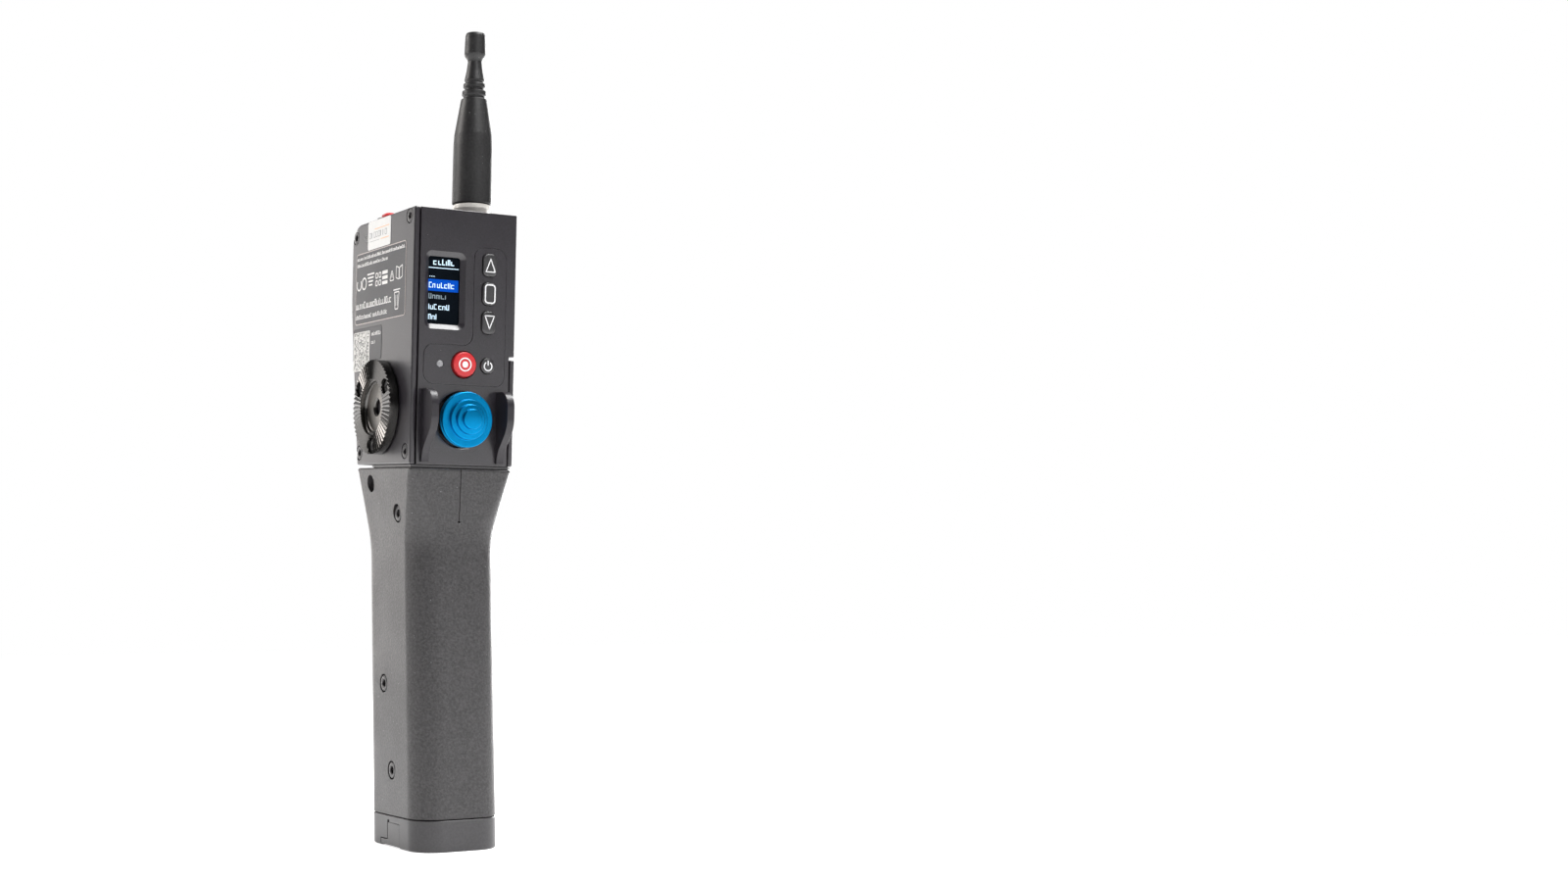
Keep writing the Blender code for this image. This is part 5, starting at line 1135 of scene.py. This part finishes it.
class ZOOMDEMAND_OT_rosettes(PieceBuilder, bpy.types.Operator):
    """Build the toothed rosettes and their screws"""

    bl_idname = "zoom_demand.rosettes"
    bl_label = "Rosettes"

    def execute(self, context):
        depth = in_mm(context.scene.zoom_demand.sizes.tooth_depth)
        screw_top = SIDE + ROSETTE_PROUD - 1.1
        seat_z = ROSETTE_PROUD - RECESS_D + 0.05
        for side, label, stand in SIDES:
            at = (side * SIDE, *ROSETTE)
            ring = self.toothed(depth)
            ring.transform(Matrix.Translation(at) @ stand)
            sunk = (side * (SIDE + 8), side * (screw_top - 1.6))
            pockets = [pin("side", *yz, *sunk, SMALL_POCKET_R, 40) for yz in ROSETTE_SCREWS]
            ring = carved(ring, gathered(pockets))
            name = f"{label}_toothed_ring"
            publish(ring, name, "black_anodised", [f"{label}_rosette"], look="machined_ring")
            seat = [(3.15, seat_z - 0.35), (3.15, seat_z), (8.3, seat_z, 0.04), (8.3, seat_z - 0.35)]
            seat = turned(seat, 96, stand, at, closed=True)
            publish(seat, f"{label}_ring_seat", "bright_steel", look="machined_seat")
            places = [(side * screw_top, y, z) for y, z in ROSETTE_SCREWS]
            names = numbered(f"{label}_rosette_screw", places)
            publish_screws(SMALL_SCREW, stand, places, f"{label}_ring_screws", names)
        return {"FINISHED"}

    def toothed(self, depth):
        """A ring turned about Z whose top is then cut into teeth."""
        tip = ROSETTE_PROUD
        floor = tip - RECESS_D
        profile = [
            (2.6, 0.3), (2.6, floor - 0.5), (3.1, floor), (8.7, floor, 0.3), (8.9, floor + 0.9),
            (RECESS_R, floor + 1.1), (RECESS_R, tip), (ROSETTE_R, tip), (ROSETTE_R, 0.5),
            (ROSETTE_R - 0.2, 0.3),
        ]
        columns = 4 * ROSETTE_TEETH
        drops = (0.0, 0.3, 1.0, 0.3)
        bm = turned(profile, columns, closed=True)
        for vert in bm.verts:
            if vert.co.z > tip - 0.01:
                column = round(math.atan2(vert.co.y, vert.co.x) / math.tau * columns)
                radius = math.hypot(vert.co.x, vert.co.y)
                vert.co.z -= drops[column % 4] * depth * radius / ROSETTE_R
        return bm


class ZOOMDEMAND_OT_antenna(PieceBuilder, bpy.types.Operator):
    """Build the antenna's collar and its rubber whip"""

    bl_idname = "zoom_demand.antenna"
    bl_label = "Antenna"

    def execute(self, context):
        base = (*ANTENNA, TOP)
        profile = [(0, 4.9), (6.5, 4.9, 0.3), (6.5, 3.5, 0.3), (5.4, 2.0, 0.2), (5.4, 0.1), (0, 0.1)]
        collar = turned(profile, 72, UPRIGHT, base)
        publish(collar, "antenna_base", "pale_metal", ["antenna_collar"])
        foot, tall, wide = 5.1, 58.5, 6.8
        profile = [(point[0] * wide, foot + point[1] * tall, *point[2:]) for point in WHIP]
        whip = turned(profile, 72, UPRIGHT, base)
        publish(whip, "antenna_rubber", "black_rubber", ["antenna_whip"])
        return {"FINISHED"}


class ZOOMDEMAND_OT_rear_sockets(PieceBuilder, bpy.types.Operator):
    """Build the two round sockets on the rear, with their pins"""

    bl_idname = "zoom_demand.rear_sockets"
    bl_label = "Rear sockets"

    def execute(self, context):
        top = 1.9
        for name, z, seat, flange, bore, pins in (
            ("camera_socket", CAMERA_Z, REAR_HIGH, 6.2, 3.9, 5),
            ("bus_socket", BUS_Z, BUS_SEAT, 5.4, 3.6, 4),
        ):
            at = (SOCKET_X, seat, z)
            profile = [
                (0, top - 7.5), (bore, top - 7.5), (bore, top - 0.3), (bore + 0.3, top), (bore + 0.9, top),
                (bore + 0.9, top - 0.35, 0.08), (flange - 0.45, top - 0.35), (flange, top - 0.7),
                (flange, 0.05), (bore + 0.8, 0.05), (bore + 0.8, -10.7), (0, -10.7),
            ]
            low = (SOCKET_X - 0.5, seat - 4.0, z + bore - 0.35)
            key = block(low, (SOCKET_X + 0.5, seat + top + 1, z + bore + 0.45))
            shell = carved(turned(profile, 64, REARWARD, at), key)
            publish(shell, f"{name}_shell", "black_steel", [name])
            core = [(0, -2.2), (bore - 0.6, -2.2, 0.2), (bore - 0.6, -5.5), (0, -5.5)]
            publish(turned(core, 48, REARWARD, at), f"{name}_core", "black_plastic")
            contacts = []
            for index in range(pins):
                turn = math.tau * index / pins
                x, up = bore * 0.48 * math.sin(turn), bore * 0.48 * math.cos(turn)
                pin = [(0, -1.2), (0.35, -1.25, 0.15), (0.35, -3.0), (0, -3.0)]
                contacts.append(turned(pin, 20, REARWARD, (SOCKET_X + x, seat, z + up)))
            publish(gathered(contacts), f"{name}_pins", "gold_contact")
        return {"FINISHED"}


class ZOOMDEMAND_OT_labels(PieceBuilder, bpy.types.Operator):
    """Build the plain labels on the head's left side, with abstract marks in place of text"""

    bl_idname = "zoom_demand.labels"
    bl_label = "Labels"

    def execute(self, context):
        raise_by = in_mm(context.scene.zoom_demand.sizes.print_height)
        under = -SIDE + 0.05
        first, second = -SIDE - raise_by, -SIDE - 2 * raise_by
        fields = [plate(box(*label), "side", first, under) for label in (TYPE_LABEL, SMALL_LABEL)]
        publish(gathered(fields), "label_fields", "black_anodised", look="label_field")
        depths = (second, first + 0.01)
        for label, name in ((TYPE_LABEL, "label_line"), (SMALL_LABEL, "label_dark_line")):
            publish(frame_plate(box(*label), "side", *depths, 0.3), name, "black_anodised", look=name)
        marks = self.icons(depths)
        for row in LABEL_ROWS:
            marks += mark_row("side", row, depths, -1)
        publish(gathered(marks), "label_marks", "black_anodised", look="white_print")
        self.sticker(first, under)
        self.code_square(second - 0.03, first)
        return {"FINISHED"}

    def icons(self, depths):
        """Simple drawn signs: rings, bars, squares, a warning triangle, a booklet and a bin."""
        shapes = []
        for middle, opening in ((24.2, 50), (19.6, 0)):
            shapes.append(arc_band("side", (middle, 62.8), 2.2, 0.55, *depths, opening))
        bars = [(6.2 - row, 0.55, 0.15, (13.8, 65.6 - 1.25 * row)) for row in range(4)]
        bars += [(4.6, 1.15, 0.2, (1.2, 64.9 - 1.75 * row)) for row in range(3)]
        bars += [(0.4, 1.5, 0.1, (-4.9, 63.0)), (5.6, 0.4, 0.1, (-9.2, 57.95))]
        bars += [(0.3, 3.6, 0.1, (y, 54.4)) for y in (-8.5, -9.9)]
        for bar in bars:
            shapes.append(plate(rectangle(*bar), "side", *depths, 3))
        lines = []
        for column in range(2):
            for row in range(2):
                lines.append((0.4, rectangle(2.1, 2.0, 0.6, (8.4 - 2.9 * column, 64.4 - 2.6 * row))))
        lines.append((0.36, [(-2.8, 61.2, 0.6), (-7.0, 61.2, 0.6), (-4.9, 65.4, 0.6)]))
        for hand in (-1, 1):
            inner, outer = -11.0 + hand * 0.06, -11.0 + hand * 2.76
            leaf = [(inner, 61.0, 0.4), (outer, 61.8, 0.4), (outer, 66.0, 0.4), (inner, 65.2, 0.4)]
            lines.append((0.34, leaf))
        lines.append((0.36, [(-7.9, 51.3, 0.5), (-10.5, 51.3, 0.5), (-11.4, 57.3, 0.5), (-7.0, 57.3, 0.5)]))
        for stroke, corners in lines:
            shapes.append(frame_plate(corners, "side", *depths, stroke, 3))
        return shapes

    def sticker(self, first, under):
        """The white sticker at the top, with plain grey and coloured bars."""
        over = first - 0.06
        label = plate(box(*STICKER), "side", over, under, 8, 0.02, 1)
        publish(label, "white_sticker", "milky_plastic", look="sticker_white")
        depths = (over - 0.02, over + 0.01)
        accents = [
            plate(rectangle(12.6, 0.22, 0, (4.6, 80.6)), "side", *depths),
            plate(rectangle(7.0, 0.22, 0, (1.9, 76.7)), "side", *depths),
        ]
        publish(gathered(accents), "sticker_accents", "milky_plastic", look="sticker_accent")
        greys = [plate(rectangle(8.6, 0.12, 0, (11.0, 76.7)), "side", *depths)]
        for index, length in enumerate((1.5, 0.5, 1.6, 1.4, 1.6, 0.5, 0.5, 1.6)):
            corners = rectangle(length, 2.0, 0.22, (15.6 - 1.95 * index - length / 2, 78.7))
            if length > 1:
                greys.append(frame_plate(corners, "side", *depths, 0.2, 3))
            else:
                greys.append(plate(corners, "side", *depths, 3))
        publish(gathered(greys), "sticker_greys", "milky_plastic", look="sticker_grey")

    def code_square(self, over, first):
        """A pale square with scattered cells that hold no code."""
        square = plate(box(*CODE_GROUND), "side", over, first + 0.03)
        publish(square, "code_ground", "milky_plastic", look="code_ground")
        chance = random.Random(40)
        cells = []
        count, start_y, start_z, size = 25, 14.2, 32.9, 0.52
        for row in range(count):
            for column in range(count):
                if chance.random() < 0.42:
                    centre = (start_y + size * (column + 0.5), start_z + size * (row + 0.5))
                    cell = rectangle(size * 0.9, size * 0.9, 0, centre)
                    cells.append(plate(cell, "side", over - 0.02, over + 0.01))
        publish(gathered(cells), "code_cells", "black_plastic", look="code_cells")


class ZOOMDEMAND_OT_grip(PieceBuilder, bpy.types.Operator):
    """Build the flared grip with its clamp slit, its screws and a dark sheet of painted shade in the neck
    gap
    """

    bl_idname = "zoom_demand.grip"
    bl_label = "Grip"

    def execute(self, context):
        pocket = plate(rectangle(24.6, 28.6, 3.3), "flat", -30, 3)
        pocket.transform(HEAD_IN_MM)
        side_at_first = self.side_at(GRIP_SCREWS[0][1])
        floors = (side_at_first - 2.55, 13.0, 13.0)
        tops = (side_at_first - 0.25, 15.4, 15.4)
        recesses = [pin("side", *CLAMP_SCREW, -37, -13.7, 2.95)]
        recesses[0].transform(HEAD_IN_MM)
        for side, _, _ in SIDES:
            for yz, floor in zip(GRIP_SCREWS, floors):
                recesses.append(pin("side", *yz, side * 31, side * floor, 3.15))
        grip = carved_by_turns(
            loft(self.sections(), 14),
            plate(rectangle(26.6, 40.8, 7.3), "flat", GRIP_LOW - 3, 104.0),
            pocket,
            block((-0.125, -40, SLIT_LOW), (0.125, 0, 135)),
            pin("front", 0, SLIT_LOW, -40, 0, 0.45, 20),
            gathered(recesses),
        )
        publish(grip, "grip_body", "textured_charcoal", ["grip_shell"], place=WHOLE)
        for side, label, stand in SIDES:
            places = [(side * top, y, z) for (y, z), top in zip(GRIP_SCREWS, tops)]
            names = numbered(f"grip_screw_{label}", places)
            publish_screws(LARGE_SCREW, stand, places, f"grip_screws_{label}", names, WHOLE)
        clamp_at = [(-16.2, *CLAMP_SCREW)]
        publish_screws(DEEP_SCREW, LEFTWARD, clamp_at, "clamp_screw", ["grip_clamp_screw"])
        # A dark sheet across the front of the neck gap is painted shade, standing where the gap lies in
        # shadow.
        shade_sheet = plate(box(-17.6, 17.6, -21.8, 9.9), "flat", -NECK_GAP, 0.02)
        publish(shade_sheet, "neck_gasket", "black_rubber")
        return {"FINISHED"}

    def opened(self, share):
        """How far the flare has opened at a share of its length."""
        if share < FLARE_EASE:
            part = share * share / (2 * FLARE_EASE)
        else:
            part = share - FLARE_EASE / 2
        return part / (1 - FLARE_EASE / 2)

    def section(self, share, drawn=0.0, lift=0.0):
        """A section of the flare, drawn in and lifted."""
        part = self.opened(share)
        size = [low + (high - low) * part for low, high in zip(GRIP, GRIP_TOP)]
        top = HEAD_IN_MM @ Vector((0, 0, -NECK_GAP))
        centre = Vector((0, top.y * part, top.z - FLARE_L * (1 - share)))
        matrix = Matrix.Translation(centre) @ Matrix.Rotation(HEAD_TILT * share, 4, "X")
        return grown(size, -drawn, matrix @ Matrix.Translation((0, 0, lift)))

    def sections(self):
        """Sections from the grip's foot to its top."""
        made = [
            grown(GRIP, -0.2, Matrix.Translation((0, 0, GRIP_LOW))),
            grown(GRIP, 0, Matrix.Translation((0, 0, GRIP_LOW + 0.2))),
        ]
        steps = 24
        made += [self.section(step / steps) for step in range(steps)]
        made += [self.section(1, 0.8 * inward, 0.8 * (on - 1)) for inward, on in quarter((0, 30, 60, 90))]
        return made

    def side_at(self, height):
        """The grip's half width at a height."""
        share = (height - (HEAD_Z - NECK_GAP - FLARE_L)) / FLARE_L
        return (GRIP[0] + (GRIP_TOP[0] - GRIP[0]) * self.opened(min(max(share, 0), 1))) / 2


class ZOOMDEMAND_OT_battery_foot(PieceBuilder, bpy.types.Operator):
    """Build the battery's foot and its two release tabs"""

    bl_idname = "zoom_demand.battery_foot"
    bl_label = "Battery foot"

    def execute(self, context):
        sections = [
            grown(GRIP, 0.8 * (on - 1), Matrix.Translation((0, 0, 0.8 * inward)))
            for inward, on in quarter((0, 22.5, 45, 67.5, 90))
        ]
        sections.append(grown(GRIP, 0, Matrix.Translation((0, 0, FOOT_H - 0.2))))
        sections.append(grown(GRIP, -0.2, Matrix.Translation((0, 0, FOOT_H))))
        half = GRIP[0] / 2
        floor = half - TAB_T - 1.3
        pockets = [plate(self.tab(0.1, 0.35, -3), "side", side * 31, side * floor) for side in (-1, 1)]
        notches = [block((x, 1.7, 8.0), (x + 6.5, 3.2, 8.9)) for x in (-20, 13.5)]
        foot = carved_by_turns(loft(sections, 14), gathered(pockets), gathered(notches))
        publish(foot, "battery_end", "smooth_charcoal", ["battery_foot"], "battery", place=WHOLE)
        for side, label, _ in SIDES:
            tab = plate(self.tab(), "side", side * (half - TAB_T), side * half, 4, 0.12, 2)
            name = f"battery_latch_{label}"
            publish(tab, f"release_tab_{label}", "smooth_charcoal", [name], name, place=WHOLE)
        return {"FINISHED"}

    def tab(self, tight=0.0, wide=0.0, low=0.5):
        """The outline of a release tab, as (y, z), grown more towards the rear."""
        return [
            (-6.5 - tight, low), (8.8 + wide, low), (8.8 + wide, 2.3 + wide),
            (3.2 + wide, 2.3 + wide), (3.2 + wide, 8.0 + tight), (-6.5 - tight, 8.0 + tight),
        ]


class ZOOMDEMAND_OT_inner_parts(PieceBuilder, bpy.types.Operator):
    """Give the inner parts of the frame their finishes"""

    bl_idname = "zoom_demand.inner_parts"
    bl_label = "Inner parts"

    def execute(self, context):
        finishes = {
            "black_plastic": ("display_module", "battery_sleeve"),
            "circuit_board": ("front_circuit_board", "main_circuit_board"),
            "bright_steel": ("zoom_lever", "zoom_pivot_pin", "zoom_bracket", "centring_spring"),
            "black_anodised": ("grip_tenon",),
            "gold_contact": ("battery_contacts",),
            "smooth_charcoal": ("battery_pack",),
        }
        for slot, names in finishes.items():
            for name in names:
                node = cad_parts[name]
                node.material_slots[0].link = "OBJECT"
                node.material_slots[0].material = look_of(slot)
        return {"FINISHED"}


class ZOOMDEMAND_OT_stage(PieceBuilder, bpy.types.Operator):
    """Set up the floor, the lights, the world and the camera"""

    bl_idname = "zoom_demand.stage"
    bl_label = "Stage"

    def execute(self, context):
        self.floor()
        self.world(context.scene)
        for lamp in LAMPS:
            self.lamp(*lamp)
        self.camera(context.scene)
        context.scene.view_settings.view_transform = "Standard"
        return {"FINISHED"}

    def camera(self, scene):
        """A camera that stands, looks and is shifted as the photograph's was."""
        camera = bpy.data.cameras.new("camera")
        camera.sensor_width = 36
        camera.lens = 39.647
        camera.shift_x = 0.21544
        camera.shift_y = 0.02808
        camera.clip_start = 0.01
        camera.clip_end = 50
        right = Vector((0.90693873, -0.4210532, -0.01327979))
        up = Vector((-0.02353081, -0.08210902, 0.99634553))
        ahead = Vector((0.42060486, 0.90331186, 0.08437557))
        turn = Matrix((right, up, -ahead)).transposed().to_4x4()
        viewer = linked("camera", camera)
        viewer.matrix_world = Matrix.Translation((-0.24304, -0.53552, 0.07125)) @ turn
        scene.camera = viewer

    def shown_directly(self, tree):
        """1 for rays that show the background: from the camera, gloss and glass."""
        path = add_node(tree, "ShaderNodeLightPath").outputs
        seen = sums(tree, "MAXIMUM", path["Is Camera Ray"], path["Is Glossy Ray"])
        return sums(tree, "MAXIMUM", seen, path["Is Transmission Ray"])

    def floor(self):
        """A pale floor that shows white and keeps the object's shadow."""
        bm = bmesh.new()
        bmesh.ops.create_grid(bm, x_segments=1, y_segments=1, size=6)
        mesh = mesh_from(bm, "floor")
        ground = linked("floor", mesh)
        look = bpy.data.materials.new("pale_floor")
        look.use_nodes = True
        tree = look.node_tree
        tree.nodes.remove(tree.nodes["Principled BSDF"])
        out = tree.nodes["Material Output"]
        matt = add_node(tree, "ShaderNodeBsdfDiffuse", {"Color": (0.82, 0.82, 0.82, 1)})
        glow = add_node(tree, "ShaderNodeEmission", {"Color": (1, 1, 1, 1)})
        feed(tree, glow.inputs["Strength"], sums(tree, "MULTIPLY", self.shown_directly(tree), 0.7))
        both = add_node(tree, "ShaderNodeAddShader", {0: matt.outputs[0], 1: glow.outputs[0]})
        feed(tree, out.inputs["Surface"], both.outputs[0])
        mesh.materials.append(look)

    def world(self, scene):
        """A surround that shows white, lights softly and in gloss is bright only behind the object."""
        world = bpy.data.worlds.new("white_surround")
        scene.world = world
        world.use_nodes = True
        tree = world.node_tree
        back = tree.nodes["Background"]
        back.inputs["Color"].default_value = (1, 1, 1, 1)
        way = add_node(tree, "ShaderNodeTexCoord").outputs["Generated"]
        split = add_node(tree, "ShaderNodeSeparateXYZ", {"Vector": way}).outputs
        behind = ranged(tree, split["Y"], 0.15, 0.92, 0.06, 0.68)
        behind = sums(tree, "MULTIPLY", behind, ranged(tree, split["Z"], 0.0, 0.22, 0.7, 1.05))
        path = add_node(tree, "ShaderNodeLightPath").outputs
        lit = ranged(tree, path["Is Glossy Ray"], 0.0, 1.0, 0.38, behind)
        strength = ranged(tree, path["Is Camera Ray"], 0.0, 1.0, lit, 1.0)
        tree.links.new(strength, back.inputs["Strength"])

    def lamp(self, name, place, target, width, height, power, colour):
        """A soft area lamp aimed at a point."""
        light = bpy.data.lights.new(name, "AREA")
        light.shape = "RECTANGLE"
        light.size = width
        light.size_y = height
        light.energy = power
        light.color = colour
        thing = linked(name, light)
        thing.location = place
        way = Vector(target) - Vector(place)
        thing.rotation_euler = way.to_track_quat("-Z", "Y").to_euler()
        thing.visible_camera = False


BUILDERS = (
    ZOOMDEMAND_OT_side_plates,
    ZOOMDEMAND_OT_housing,
    ZOOMDEMAND_OT_front_panel,
    ZOOMDEMAND_OT_display,
    ZOOMDEMAND_OT_keys,
    ZOOMDEMAND_OT_buttons,
    ZOOMDEMAND_OT_zoom_knob,
    ZOOMDEMAND_OT_guards,
    ZOOMDEMAND_OT_rosettes,
    ZOOMDEMAND_OT_antenna,
    ZOOMDEMAND_OT_rear_sockets,
    ZOOMDEMAND_OT_labels,
    ZOOMDEMAND_OT_grip,
    ZOOMDEMAND_OT_battery_foot,
    ZOOMDEMAND_OT_inner_parts,
    ZOOMDEMAND_OT_stage,
)


class ZOOMDEMAND_PT_panel(bpy.types.Panel):
    """Builders and settings of the zoom demand"""

    bl_label = "Zoom demand"
    bl_idname = "ZOOMDEMAND_PT_panel"
    bl_space_type = "VIEW_3D"
    bl_region_type = "UI"
    bl_category = "Zoom demand"

    def draw(self, context):
        settings = context.scene.zoom_demand
        column = self.layout.column(align=True)
        for builder in BUILDERS:
            column.operator(builder.bl_idname)
        for group in (settings.colours, settings.sizes):
            area = self.layout.box()
            for name in group.bl_rna.properties.keys():
                if name not in {"rna_type", "name"}:
                    area.prop(group, name)


CLASSES = (
    ZoomDemandColours,
    ZoomDemandSizes,
    ZoomDemandSettings,
    *BUILDERS,
    ZOOMDEMAND_PT_panel,
)


def register():
    for cls in CLASSES:
        bpy.utils.register_class(cls)
    bpy.types.Scene.zoom_demand = PointerProperty(type=ZoomDemandSettings)


def unregister():
    del bpy.types.Scene.zoom_demand
    for cls in reversed(CLASSES):
        bpy.utils.unregister_class(cls)


def main():
    register()
    for builder in BUILDERS:
        group, name = builder.bl_idname.split(".")
        getattr(getattr(bpy.ops, group), name)()


if __name__ == "__main__":
    main()
